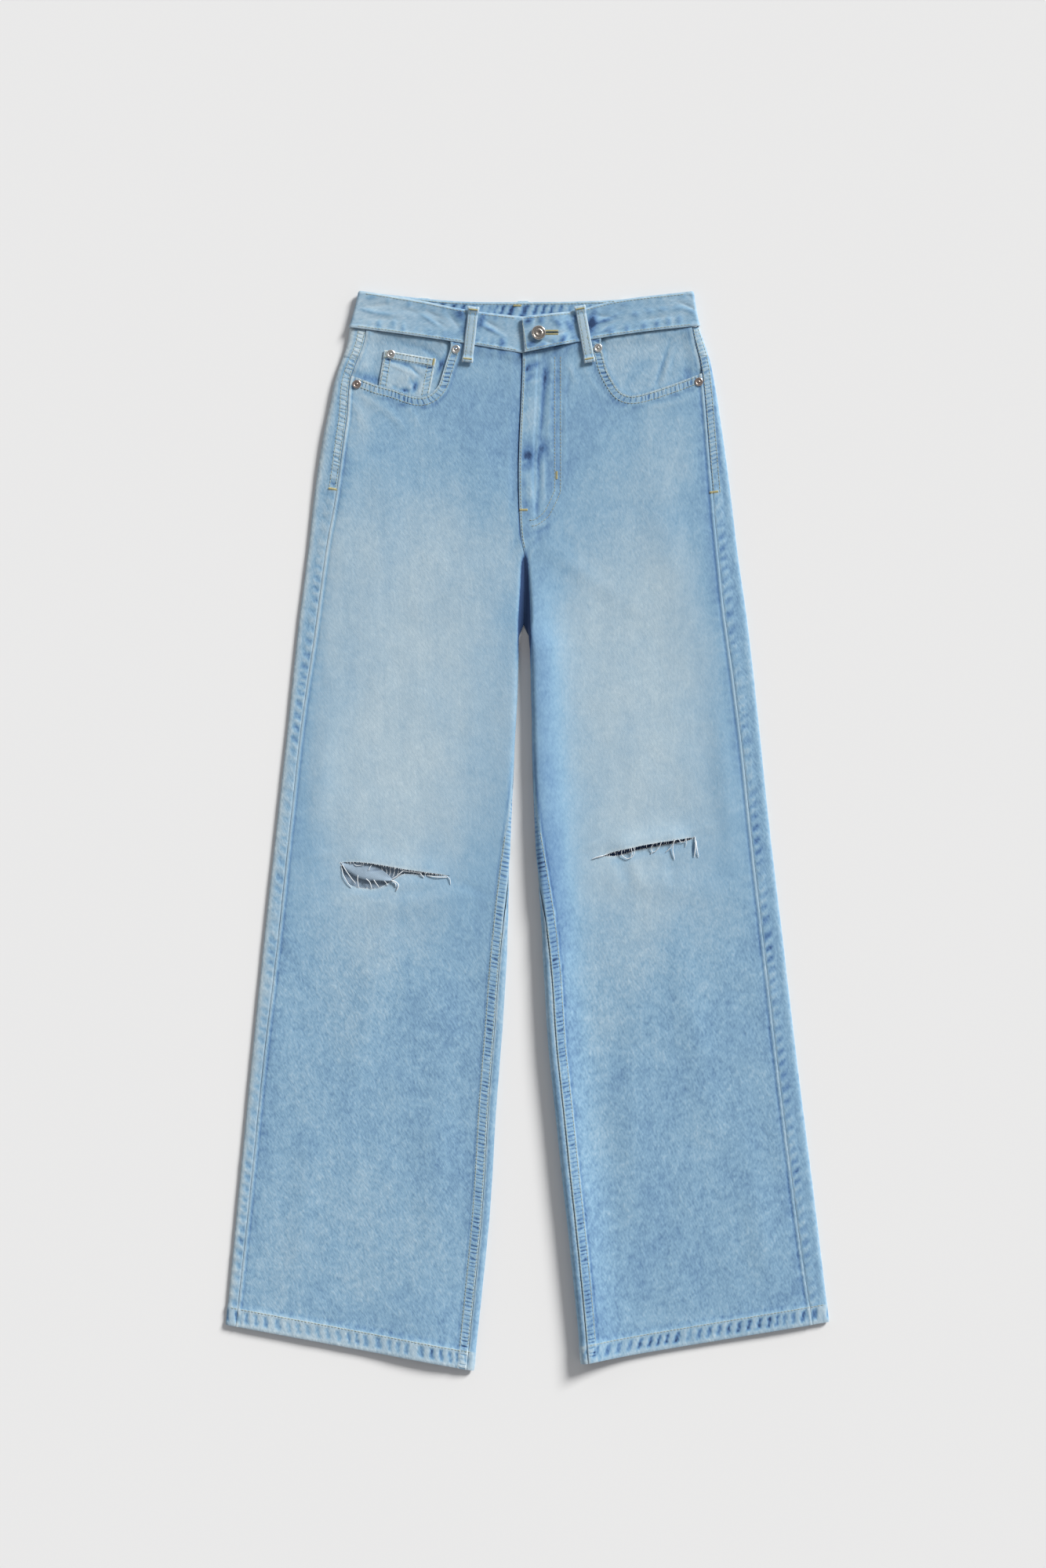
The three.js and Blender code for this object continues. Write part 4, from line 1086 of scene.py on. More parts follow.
def front_panel(context, leg):
    """A front leg panel, from the side seam to the fly or inseam, torn across the knee."""
    sizes = context.scene.jeans_cloth
    flat, inner = front_stations()
    v = np.repeat(LEG_LINES[:, None], len(flat) + len(inner), axis=1)
    v, lip, torn = rip_lines(leg, v, flat, inner)
    middle = front_middle(leg, v, flat, inner)
    x, y = middle[..., 0].copy(), middle[..., 1].copy()
    rows = rows_at(leg, v)
    inset = np.hypot(x - rows.outer_x, y - rows.outer_y)
    from_outseam = inset - outseam_inset(rows)
    from_inner = np.where(v > CROTCH, rows.width - inset, np.abs(rows.inner_x - x))
    up = above_hem(rows, inset / rows.width)

    wash = leg_fade(leg, x, y)
    rise = ripples(x, y, leg.seed)
    wash, rise = with_marks(FRONT_MARKS, x, y, wash, rise, sizes.crease)

    # The side seam: a rubbed ridge, then a line of painted shade where the cloth drops beside it.
    ridge = bell(from_outseam - 1.1, 1.2)
    wash += 0.26 * ridge - 0.24 * bell(from_outseam - 4.0, 1.3)
    rise += (0.55 * ridge - 0.25 * bell(from_outseam - 4.2, 1.4)) * sizes.pucker
    travel = rows.v * LEG_LENGTH
    pulled = uneven_rungs(travel, 13, leg.seed + 5)
    wash -= 0.12 * pulled * bell(from_outseam - 8, 5)

    # The inseam: a felled seam with two rows of stitches, pale along both and laddered between.
    arc, _ = inseam(rows)
    below_crotch = soft(LEGS_APART, LEGS_APART + 0.12, v)
    round_fold = mix(arc[:, len(flat):], INNER_FLAT, inner)
    past_inseam = np.concatenate([arc_of_inset(from_inner)[:, :len(flat)], round_fold], axis=1) - arc
    felled = ramp(0.0, 0.8, past_inseam) * (1 - soft(9.2, 10.8, past_inseam)) * below_crotch
    stitched = bell(past_inseam - 1.0, 1.0) + bell(past_inseam - 9.4, 1.0)
    wash += (0.22 * stitched - 0.20 * bell(past_inseam - 11.6, 1.2)) * below_crotch
    wash += 0.05 * felled
    rise += 0.45 * felled * sizes.pucker

    # Painted shade: the cleft between the legs is darkened towards navy, for the shadow deep in it and its
    # unfaded indigo.
    depth = soft(GAP_TIP - 0.004, GAP_TIP + 0.012, v) * (1 - soft(CROTCH + 0.01, LEGS_APART + 0.02, v))
    half_gap = np.abs(along(leg.inner, rows.inner_y) - along(CENTRE_FRONT, rows.inner_y))
    from_centre = np.abs(along(CENTRE_FRONT, rows.inner_y) - x)
    wash -= 1.1 * depth * (1 - soft(half_gap - 0.5, half_gap + 3.5, from_centre))
    # Painted shade: the left leg's front is darkened near its raised inner fold, which faces away from the
    # light. The right leg's is a little paler there.
    if leg is LEFT:
        wash -= 0.17 * bell(from_inner - 14, 20) * soft(GAP_TIP, 0.30, v) * (1 - 0.5 * soft(0.55, 0.75, v))
    else:
        wash += 0.05 * bell(from_inner - 8, 14) * soft(0.27, 0.34, v) * (1 - soft(0.50, 0.62, v))

    # The fly: the left front's edge is rubbed pale, and its shadow is painted on the right front as a dark
    # line with soft shade beside it.
    on_fly = 1 - soft(GAP_TIP - 0.02, GAP_TIP, v)
    if leg is LEFT:
        wash += 0.26 * bell(from_inner - 1.2, 1.6) * on_fly
        placket = soft(26, 30, from_inner) * (1 - soft(38, 43, from_inner)) * (1 - soft(0.115, 0.135, v))
        wash -= 0.05 * placket
        wash += 0.13 * lumps(x, y * 0.09, 3.6, 79) * bell(from_inner - 27, 20) * on_fly
        rise += (0.20 * bell(from_inner - 1.2, 2.0) + 0.15 * (1 - soft(34, 46, from_inner))) * on_fly
        rungs = uneven_rungs(travel, 9, 77)
        wash -= 0.14 * rungs * placket
        wash -= 0.16 * uneven_rungs(travel + 3, 15, 78) * bell(from_inner - 5, 5) * on_fly
    else:
        wash -= 0.60 * bell(from_inner - 0.2, 1.2) * on_fly
        wash -= 0.07 * bell(from_inner - 6, 7) * on_fly
        rise += 0.45 * bell(from_inner, 9) * on_fly

    # Under the waistband, small pulls run down from the seam, and a thin line of painted shade lies right
    # under it.
    pulls = uneven_rungs(x + travel * 0.25, 12, leg.seed + 9)
    wash -= 0.22 * pulls * bell(travel - 3, 9) + 0.10 * bell(travel, 1.6)
    rise += 1.3 * bell(travel, 7) - 0.30 * pulls * bell(travel - 5, 8) * sizes.pucker

    # The pocket mouth: a turned edge with two rows of stitches.
    kept, distance = trim(x, y, scoop_outline(leg), middle)
    rolled = 1 - soft(8.8, 10.6, distance)
    wash += 0.30 * bell(distance - 0.6, 1.3) + 0.10 * rolled - 0.20 * bell(distance - 11.4, 1.3)
    rise += (0.45 * rolled + 0.25 * bell(distance - 1.0, 1.4)) * sizes.pucker
    mouth_distance, mouth_travel = line_distance(x, y, smooth_line(leg.scoop, 30))
    kept[lip] &= ~torn

    # The hem.
    recess = hem_rope(x * leg.toward, up, leg.seed + 31)
    hem_edge = 1 - soft(HEM_DEPTH - 1.5, HEM_DEPTH, up)
    wash += (0.32 if leg is RIGHT else 0.20) * hem_edge - 0.66 * recess + 0.08 * bell(up - 1.5, 2.5)
    rungs = uneven_rungs(x * leg.toward, 9, leg.seed + 37)
    wash += 0.10 * bell(up - (HEM_DEPTH - 0.6), 1.0) - 0.26 * bell(up - (HEM_DEPTH + 2.4), 2.6) * rungs
    rise += (0.25 - 0.70 * recess) * hem_edge * sizes.pucker + 0.20 * hem_edge

    # The lips of the rip, with painted shade below the lower lip, where the raised upper lip shades it.
    upper_gap, _ = line_distance(x, y, smooth_line(leg.rip_upper, 30))
    lower_gap, _ = line_distance(x, y, smooth_line(leg.rip_lower, 30))
    tips = soft(0, 26, x - leg.rip_upper[0][0]) * soft(0, 26, leg.rip_upper[-1][0] - x)
    above = np.arange(v.shape[0])[:, None] <= lip
    rise += np.where(above, leg.rip_rise * bell(upper_gap, 13) * tips, -0.9 * bell(lower_gap, 6) * tips)
    wash += np.where(above, 0.16 * bell(upper_gap, 1.8), 0.10 * bell(lower_gap, 2.0)) * soft(0, 4, tips * 26)
    wash -= np.where(above, 0.0, (0.07 if leg is RIGHT else 0.17) * bell(lower_gap - 4.5, 5.5) * tips)

    normal = slopes(middle) * -leg.toward
    middle = middle + normal * rise[..., None]
    on_seam = felled > 0.5
    along_seam = np.where(on_seam, -y, mouth_travel)
    across_seam = np.where(on_seam, past_inseam, mouth_distance)
    ladder = (0.9 if leg is RIGHT else 0.7) * felled
    ladder = ladder * ramp(0.9, 2.0, past_inseam) * (1 - ramp(8.2, 9.4, past_inseam))
    mouth_band = ramp(1.2, 2.2, mouth_distance) * (1 - ramp(8.0, 9.2, mouth_distance))
    ladder = np.maximum(ladder, mouth_band * (y > leg.scoop[-1][1] - 45))
    looks = {
        "wash": wash, "cloth": grain(x - leg.toward * v * 60, y, leg.seed * 0.1),
        "ladder": ladder, "seam": seam_place(along_seam, across_seam),
        "mottle": 0.52 + 0.6 * soft(0.50, 0.66, v) + 0.25 * (1 - soft(0.1, 0.3, v)), "depth": 0.35,
    }
    name = f"front_denim_{leg.side}"
    piece = cloth_shell(name, middle, cloth_wall(v), -leg.toward, looks, denim(context), kept)
    return replacing(piece, f"front_{leg.side}")


def back_stations():
    """Shares round the outer fold, across the flat underneath, and to the centre back or the inseam."""
    return np.linspace(0, 1, 24), np.linspace(0, 1, 36)[1:], np.linspace(0, 1, 17)[1:]


def back_middle(leg, v, wrap, under, closing):
    """The middle of a back panel's or yoke's cloth on a grid of v, and each column's share across."""
    first, second = len(wrap), len(wrap) + len(under)
    rows = rows_at(leg, v[:, :first])
    seam = arc_of_inset(outseam_inset(rows)) - SEAM_GAP / 2
    strip = ring_point(rows, False, mix(seam, -FOLD_ARC, wrap))
    rows = rows_at(leg, v[:, first:second])
    flat = ring_point(rows, False, -arc_of_inset(mix(FOLD_REACH, rows.width, CLOSING * under)))
    rows = rows_at(leg, v[:, second:])
    start = mix(FOLD_REACH, rows.width, CLOSING)
    centre = np.abs(CENTRE_BACK - rows.outer_x) / np.abs(rows.across_x) - SEAM_GAP / 2
    at_centre = ring_point(rows, False, -arc_of_inset(mix(start, centre, closing)))
    arc, half = inseam(rows)
    far = -arc_of_inset((1 - CLOSING) * (rows.width - FOLD_REACH))
    on_leg = ring_point(rows, True, mix(far, arc - half, closing))
    end = blend_to_leg(rows.v, at_centre, on_leg)
    return np.concatenate([strip, flat, end], axis=1)


def back_shares(wrap, under, closing):
    """How far across the back each column lies."""
    return np.concatenate([np.zeros(len(wrap)), CLOSING * under, mix(CLOSING, 1, closing)])


def back_looks(context, leg, v, middle, wrap, rows):
    """Wash, relief and seam places shared by the back panels and the yokes."""
    sizes = context.scene.jeans_cloth
    x, y, z = middle[..., 0], middle[..., 1], middle[..., 2]
    inset = np.hypot(x - rows.outer_x, y - rows.outer_y)
    on_top = z > (top_height(rows, inset) + bottom_height(rows, inset)) / 2
    to_seam = outseam_inset(rows) - inset
    strip = np.broadcast_to(np.arange(v.shape[1]) < len(wrap), v.shape)
    wash = BASE_WASH + 0.14 * bell(y + 40, 260) + 0.02 * lumps(x, y, 60, leg.seed + 3)
    seat = np.hypot((x + leg.toward * 100) / 95, (y - 250) / 130)
    # Painted light: the strip round the outer fold is paler on the wearer's right, whose side faces away from
    # the light, and a little darker on the left, which faces it.
    wash = np.where(strip, BASE_WASH + (0.12 if leg is RIGHT else -0.02),
                    wash + 0.22 * (1 - soft(0.3, 1.2, seat)))
    rise = 0.55 * np.abs(lumps(x, y * 0.6, 52, leg.seed + 4)) + 0.25 * np.abs(lumps(x, y, 21, leg.seed + 6))
    rise = np.where(strip, 0.10 * lumps(x, y, 14, leg.seed), -rise)

    # Puckers beside the side seam, with indigo left in their hollows.
    travel = rows.v * LEG_LENGTH
    rungs = uneven_rungs(travel + to_seam * 0.5, 12.5, leg.seed + 17)
    beside = soft(0.5, 2.2, to_seam) * (1 - soft(6.5, 11.5, to_seam)) * strip * on_top
    hip = 1 - soft(0.13, 0.16, v)
    edge_wash = (0.18 - 0.44 * hip) * bell(to_seam, 1.2) * strip * on_top
    wash += beside * (0.16 - 0.58 * rungs * (1 - 0.75 * hip)) + edge_wash
    rise += beside * (0.35 - 0.85 * rungs) * sizes.pucker
    # Painted light: the outer fold is painted paler, much more on the wearer's right, whose fold faces away
    # from the light.
    wash += (0.34 if leg is RIGHT else 0.10) * bell(inset - 1, 3.4) * strip

    # The band of two rows of stitches that runs down the hip outside the side seam.
    hip_band = ramp(0.8, 1.8, to_seam) * (1 - ramp(7.6, 8.8, to_seam)) * hip * strip * on_top
    wash += 0.10 * hip_band - 0.20 * bell(to_seam - 10, 1.4) * hip * strip * on_top
    ladder = 0.8 * hip_band
    return x, y, inset, to_seam, strip, on_top, wash, rise, ladder, travel


def back_panel(context, leg):
    """A back leg panel, wrapped round the outer fold to the side seam."""
    wrap, under, closing = back_stations()
    share = back_shares(wrap, under, closing)
    lines = np.concatenate([np.linspace(YOKE_SIDE, HEM_START, LEG_ROWS - 8),
                            np.linspace(HEM_START, 1, 11)[1:]])
    fade = np.maximum(0, 1 - (lines - YOKE_SIDE) / (CROTCH - YOKE_SIDE))
    v = lines[:, None] + (yoke_seam(share) - YOKE_SIDE)[None, :] * fade[:, None] + SEAM_GAP / 2000
    v = np.minimum(v, 1)
    middle = back_middle(leg, v, wrap, under, closing)
    rows = rows_at(leg, v)
    surface = back_looks(context, leg, v, middle, wrap, rows)
    x, y, inset, to_seam, _, on_top, wash, rise, ladder, travel = surface

    closing_side = np.arange(v.shape[1]) >= len(wrap) + len(under)
    arc, _ = inseam(rows)
    near_inseam = closing_side & on_top & (v > CROTCH)
    to_inseam = np.maximum(arc - FOLD_ARC + FOLD_REACH, 0.5) - (rows.width - inset)
    wash = wash + np.where(near_inseam, 0.30 * bell(to_inseam, 1.1) - 0.20 * bell(to_inseam - 2.2, 1.0), 0)
    wash = np.where(near_inseam, wash + 0.03 - 0.10 * (1 - soft(0.45, 0.7, v)), wash)
    rise = np.where(near_inseam, 0.08 * lumps(x, y, 12, 5), rise)

    # The seat seam underneath: felled, with two rows of stitches on the wearer's left.
    seat = (v < CROTCH) & closing_side
    from_seat = np.abs(x - CENTRE_BACK)
    felled = (1 - soft(9, 10.5, from_seat)) * seat * (leg is LEFT)
    wash += 0.25 * bell(from_seat - 1.2, 1.2) * seat + 0.08 * felled
    ladder = np.maximum(ladder, 0.8 * felled * ramp(0.8, 1.8, from_seat))
    below_yoke = travel - yoke_seam(share) * LEG_LENGTH
    ladder = np.maximum(ladder, 0.8 * ramp(0.5, 1.5, below_yoke) * (1 - ramp(8, 9.2, below_yoke)) * (~on_top))
    wash += 0.22 * bell(below_yoke - 1, 1.4) * (~on_top)

    # The hem all round.
    up = above_hem(rows, np.clip(inset / rows.width, 0, 1))
    turned = np.where(on_top, x * leg.toward, 300 - x * leg.toward)
    recess = hem_rope(turned, up, leg.seed + 31)
    hem_edge = 1 - soft(HEM_DEPTH - 1.5, HEM_DEPTH, up)
    wash = np.where(hem_edge > 0, mix(wash, 0.78, hem_edge), wash)
    wash = wash - 0.64 * recess + 0.08 * bell(up - 1.5, 2.5)
    rise = mix(rise, (0.25 - 0.70 * recess) * on_top, hem_edge)

    # Painted shade deep inside: the wrong side is darkened towards navy under the rips and in the cleft.
    lip_x, lip_y = np.mean(leg.rip_upper, axis=0)
    shade_under_rip = 1 - soft(0.75, 1.35, np.hypot((x - lip_x) / 80, (y - lip_y) / 38))
    cleft = bell(x - CENTRE_BACK, 16) * soft(0.19, 0.21, v) * (1 - soft(0.31, 0.36, v))

    normal = slopes(middle) * leg.toward
    middle = middle + normal * rise[..., None]
    middle[..., 2] = np.maximum(middle[..., 2], cloth_wall(v) / 2)
    along_seam = np.where(seat & (below_yoke > 12), -y, np.where(on_top, travel, x))
    looks = {
        "wash": wash, "cloth": grain(np.where(on_top, x, -x + 900), y, 0.5 + leg.seed * 0.1),
        "ladder": ladder,
        "seam": seam_place(along_seam, to_seam), "mottle": 1.0,
        "depth": np.maximum(leg.rip_shade * shade_under_rip, 0.85 * cleft),
    }
    piece = cloth_shell(f"back_denim_{leg.side}", middle, cloth_wall(v), leg.toward, looks, denim(context))
    return replacing(piece, f"back_{leg.side}")


def yoke_panel(context, leg):
    """Half of the back yoke, under the waistband."""
    wrap, under, closing = back_stations()
    share = back_shares(wrap, under, closing)
    steps = np.linspace(0, 1, 16)
    v = mix(back_waist(share)[None, :], (yoke_seam(share) - SEAM_GAP / 2000)[None, :], steps[:, None])
    middle = back_middle(leg, v, wrap, under, closing)
    rows = rows_at(leg, v)
    surface = back_looks(context, leg, v, middle, wrap, rows)
    x, y, _, to_seam, strip, on_top, wash, rise, ladder, travel = surface
    above_seam = (yoke_seam(share)[None, :] - v) * LEG_LENGTH
    # A pale ridge above the seam, and painted shade along the yoke's lower edge, where it laps over the back
    # panel.
    wash += 0.16 * bell(above_seam - 0.8, 1.6) - 0.24 * bell(above_seam, 0.9)
    wash += 0.12 * strip * on_top
    normal = slopes(middle) * leg.toward
    middle = middle + normal * (rise * 0.5)[..., None]
    middle[..., 2] = np.maximum(middle[..., 2], DENIM / 2)
    looks = {
        "wash": wash, "cloth": grain(y * leg.toward + 700, x, 0.9 + leg.seed * 0.1), "ladder": ladder,
        "seam": seam_place(travel, to_seam), "mottle": 1.0, "depth": 0.35,
    }
    piece = cloth_shell(f"yoke_denim_{leg.side}", middle, DENIM, leg.toward, looks, denim(context))
    return replacing(piece, f"yoke_{leg.side}")


# ---------------------------------------------------------------------------------------------------------
# Pockets and fly.
# ---------------------------------------------------------------------------------------------------------

# Creases on the denim inside the pocket mouths, like FRONT_MARKS. Their darker wash is partly worn indigo and
# partly painted shade, and a dark line beside the wearer's right mouth is the painted shadow of its edge.
FACING_MARKS = [
    (140.8, 486, 72, 25, 1.9, -0.8, -0.30), (146.4, 486, 72, 23, 3.2, 0.6, 0.10),
    (151.5, 490, 80, 17, 2.6, -0.4, -0.08), (167.5, 479, 80, 9, 6, -0.3, -0.26),
    (118, 487, 40, 26, 8, 0.1, -0.07), (126, 501, 20, 20, 7, 0.3, 0.06), (108, 470, 60, 9, 5, -0.2, -0.08),
    (-167, 475, -12, 11, 5, -0.5, -0.32), (-157, 471, -25, 6, 4, -0.4, -0.28),
    (-172, 492, 100, 14, 4, 0.4, 0.08), (-98, 497, -44, 17, 3.4, -0.6, -0.26),
    (-91, 486, 68, 13, 2.2, -0.3, -0.50), (-120, 508, -14, 28, 5, -0.3, -0.10),
    (-104, 506, -30, 14, 3, 0.4, 0.08), (-160, 488, 84, 14, 3, -0.3, -0.06),
]


def pocket_facing(context, leg):
    """The denim that shows inside a front pocket's opening."""
    v = np.repeat(np.linspace(0, FACING_BOTTOM, 40)[:, None], 54, axis=1)
    rows = rows_at(leg, v)
    across = np.linspace(0, 1, 54)[None, :]
    place = mix(outseam_inset(rows) + SEAM_GAP / 2, rows.width - FACING_END, across)
    middle = ring_point(rows, False, arc_of_inset(place))
    middle[..., 2] = HIP_TOP - FACING_DROP
    x, y = middle[..., 0], middle[..., 1]
    wash = BASE_WASH + (0.19 if leg is RIGHT else 0.13) + 0.05 * lumps(x, y, 24, leg.seed + 40)
    rise = 0.25 * lumps(x, y, 26, leg.seed + 41)
    wash, rise = with_marks(FACING_MARKS, x, y, wash, rise, context.scene.jeans_cloth.crease)
    shown = -signed_distance(x, y, scoop_outline(leg))[0]
    from_side = place - outseam_inset(rows)
    # Painted shade where the facing passes under the front's edge and under the waistband.
    wash -= 0.14 * bell(shown, 3.5) + 0.12 * bell(v * LEG_LENGTH, 3)
    wash += 0.14 * bell(from_side - 1.0, 1.6) - 0.16 * bell(from_side - 4.5, 1.4)
    raised = 1.15 * (1 - soft(0, 16, from_side)) + 1.6 * bell(v * LEG_LENGTH, 9)
    middle[..., 2] += (np.clip(rise, -0.9, 0.6) + raised) * soft(1, 8, shown)
    looks = {
        "wash": wash, "cloth": grain(x, y, 1.3 + leg.seed * 0.1), "ladder": 0.0,
        "seam": seam_place(np.zeros(v.shape), 0), "mottle": 0.9, "depth": 0.3,
    }
    piece = cloth_shell(f"pocket_facing_denim_{leg.side}", middle, DENIM, -leg.toward, looks, denim(context))
    return replacing(piece, f"pocket_facing_{leg.side}")


def quad_patch(corners, columns, rows):
    """Places on a four-cornered patch, and their distances in from its left, right, top and bottom edges."""
    top_left, top_right, low_right, low_left = (np.array(corner, dtype=float) for corner in corners)
    s = np.linspace(0, 1, columns + 1)[None, :, None]
    t = np.linspace(0, 1, rows + 1)[:, None, None]
    plan = mix(mix(top_left, top_right, s), mix(low_left, low_right, s), t)
    width = np.linalg.norm(mix(top_right - top_left, low_right - low_left, t[..., 0]), axis=-1)
    height = np.linalg.norm(mix(low_left - top_left, low_right - top_right, s[0]), axis=-1)
    s, t = s[..., 0], t[..., 0]
    return plan, s * width[:, None], (1 - s) * width[:, None], t * height, (1 - t) * height


COIN_CORNERS = [(-149.5, 503), (-95.5, 493.5), (-104.5, 446), (-158, 452)]
# Creases and dents in the coin pocket, like FRONT_MARKS: their darker wash is partly worn indigo and partly
# painted shade.
COIN_MARKS = [
    (-129, 487.6, -16, 8, 1.5, -0.5, -0.36), (-119.5, 482, -42, 9, 1.6, -0.7, -0.42),
    (-142, 491, -12, 7, 1.5, -0.4, -0.36), (-106, 484.6, -12, 8, 1.6, -0.4, -0.36),
    (-117.6, 465, 76, 6.5, 3.0, -0.7, -0.75), (-128, 460.5, -10, 5.5, 2.4, -0.5, -0.62),
    (-121.5, 471, 108, 5, 1.8, -0.4, -0.30), (-139, 464, 0, 2.4, 2.2, -0.3, -0.30),
    (-126, 475, 32, 12, 5, 0.4, 0.10), (-123, 459, 80, 6, 1.6, 0.5, 0.20),
    (-112, 463, 60, 7, 2.4, 0.4, 0.12), (-133, 483, -24, 12, 1.6, 0.3, 0.10),
]


def coin_pocket(context):
    """The small patch pocket in the wearer's right front pocket."""
    plan, left, right, top, _ = quad_patch(COIN_CORNERS, 54, 50)
    level = HIP_TOP - FACING_DROP + DENIM + SEAM_GAP
    middle = lifted(plan, level)
    x, y = plan[..., 0], plan[..., 1]
    distance, near_x, near_y = signed_distance(x, y, scoop_outline(RIGHT, 0.35))
    outside = (distance[:-1, :-1] + distance[1:, 1:]) / 2 > 0
    edge = np.zeros(distance.shape, dtype=bool)
    for dj in (0, 1):
        for di in (0, 1):
            edge[dj:distance.shape[0] - 1 + dj, di:distance.shape[1] - 1 + di] |= outside
    edge &= np.abs(distance) < 2.2
    middle[..., 0] = np.where(edge, near_x, middle[..., 0])
    middle[..., 1] = np.where(edge, near_y, middle[..., 1])
    wash = BASE_WASH + 0.25 + 0.04 * lumps(x, y, 12, 61)
    rise = 0.15 * lumps(x, y, 14, 62)
    wash, rise = with_marks(COIN_MARKS, x, y, wash, rise, context.scene.jeans_cloth.crease)
    band = 1 - soft(7.6, 8.8, top)
    beside = np.minimum(left, right)
    # A paler hem band, with a painted shadow line below it.
    wash += 0.12 * band - 0.26 * bell(top - 9.6, 1.2)
    wash += 0.20 * bell(top - 0.6, 1.2) + 0.20 * bell(beside - 0.6, 1.2)
    rise += 0.40 * band + 0.20 * bell(beside - 4.5, 5)
    middle[..., 2] += np.clip(rise, -0.4, 0.9) * ramp(0, 2.5, -distance)
    sides = ramp(1.0, 2.0, beside) * (1 - ramp(7.4, 8.4, beside)) * (1 - band)
    hem = ramp(1.0, 2.0, top) * (1 - ramp(6.4, 7.4, top))
    looks = {
        "wash": wash, "cloth": grain(x, y, 1.9), "ladder": np.maximum(0.9 * sides, 0.6 * hem),
        "seam": seam_place(np.where(hem > sides, x, y), beside), "mottle": 0.9, "depth": 0.3,
    }
    piece = cloth_shell("coin_pocket_denim", middle, DENIM, -1, looks, denim(context), ~outside)
    return replacing(piece, "coin_pocket")


BACK_POCKET = [(-72, 423), (72, 439), (66, 300), (-3, 264), (-66, 286)]
BACK_POCKET_CENTRE = 100
BACK_POCKET_WIDTH = 138
FOOT_SLOPE = 0.93


def back_pocket_plan(leg):
    """A patch pocket with a pointed foot, seen from above, and its insets from the sides, top and foot."""
    points = np.array(BACK_POCKET, dtype=float)
    s = np.linspace(0, 1, 53)
    t = np.linspace(0, 1, 61)[:, None, None]
    top = mix(points[0], points[1], s[:, None])
    tip = (points[3, 0] - points[4, 0]) / (points[2, 0] - points[4, 0])
    foot = np.where((s < tip)[:, None], mix(points[4], points[3], (s / tip)[:, None]),
                    mix(points[3], points[2], ((s - tip) / (1 - tip))[:, None]))
    plan = mix(top[None], foot[None], t)
    length = np.linalg.norm(top - foot, axis=-1)[None, :]
    t = t[..., 0]
    side = np.minimum(s, 1 - s)[None, :] * BACK_POCKET_WIDTH * np.ones_like(t)
    plan[..., 0] = leg.toward * -BACK_POCKET_CENTRE - leg.toward * plan[..., 0]
    return plan, side, t * length, (1 - t) * length * FOOT_SLOPE


def back_pocket(context, leg):
    """A hidden patch pocket with a pointed foot."""
    plan, side, top, foot = back_pocket_plan(leg)
    x, y = plan[..., 0], plan[..., 1]
    middle = lifted(plan, DENIM / 2)
    edge = np.minimum(side, foot)
    wash = BASE_WASH + 0.16 + 0.05 * lumps(x, y, 30, leg.seed + 50) + 0.22 * bell(np.minimum(edge, top), 1.6)
    wash += 0.16 * bell(top - 13, 1.5) - 0.18 * bell(top - 15.5, 1.5)
    rungs = uneven_rungs(y + x * 0.3, 9, leg.seed + 51)
    wash -= 0.20 * rungs * bell(edge - 4, 3)
    sides = ramp(1.0, 2.0, edge) * (1 - ramp(7.0, 8.0, edge))
    looks = {
        "wash": wash, "cloth": grain(x, y, 2.2 + leg.seed * 0.1), "ladder": 0.8 * sides,
        "seam": seam_place(np.where(foot < side, x, y), edge), "mottle": 0.9, "depth": 0.3,
    }
    piece = cloth_shell(f"back_pocket_denim_{leg.side}", middle, DENIM, leg.toward, looks, denim(context))
    return replacing(piece, f"back_pocket_{leg.side}")


SHIELD_LEFT_EDGE = [(-14, 493), (-14, 440), (-14, 385), (-14, 340)]
SHIELD_RIGHT_EDGE = [(28, 497), (28, 372), (18, 346), (-6, 334)]
ZIP_CORNERS = [(-2.5, 494), (15, 495), (15, 364), (-4, 360)]
ZIP_TOOTH = (4.2, 0.9, 0.9)
ZIP_PITCH = 1.8


def fly_shield(context):
    """The plain shield hidden behind the fly."""
    left, right = smooth_line(SHIELD_LEFT_EDGE, 60), smooth_line(SHIELD_RIGHT_EDGE, 60)
    plan = mix(left[:, None], right[:, None], np.linspace(0, 1, 18)[None, :, None])
    _, _, low, high = centre_of("fly_shield")
    x, y = plan[..., 0], plan[..., 1]
    looks = {
        "wash": 0.30 + 0.05 * lumps(x, y, 20, 90), "cloth": grain(x, y, 2.9), "ladder": 0.0,
        "seam": seam_place(y, x), "mottle": 0.8, "depth": 0.2,
    }
    middle = lifted(plan, (low + high) / 2)
    piece = cloth_shell("fly_shield_denim", middle, high - low, -1, looks, denim(context))
    return replacing(piece, "fly_shield")


def box_mesh(places, half):
    """Small boxes with chamfered tops at the given places, joined, as places and faces."""
    shape = np.array([(-1, -1, -1), (1, -1, -1), (1, 1, -1), (-1, 1, -1), (-1, -1, 0.4), (1, -1, 0.4),
                      (1, 1, 0.4),
                      (-1, 1, 0.4), (-0.7, -0.7, 1), (0.7, -0.7, 1), (0.7, 0.7, 1), (-0.7, 0.7, 1)]) * half
    sides = [(0, 3, 2, 1), (8, 9, 10, 11)]
    for low in (0, 4):
        sides += [(low + k, low + (k + 1) % 4, low + 4 + (k + 1) % 4, low + 4 + k) for k in range(4)]
    points = (np.asarray(places)[:, None] + shape[None]).reshape(-1, 3)
    faces = (np.array(sides)[None] + 12 * np.arange(len(places))[:, None, None]).reshape(-1, 4)
    return points, faces


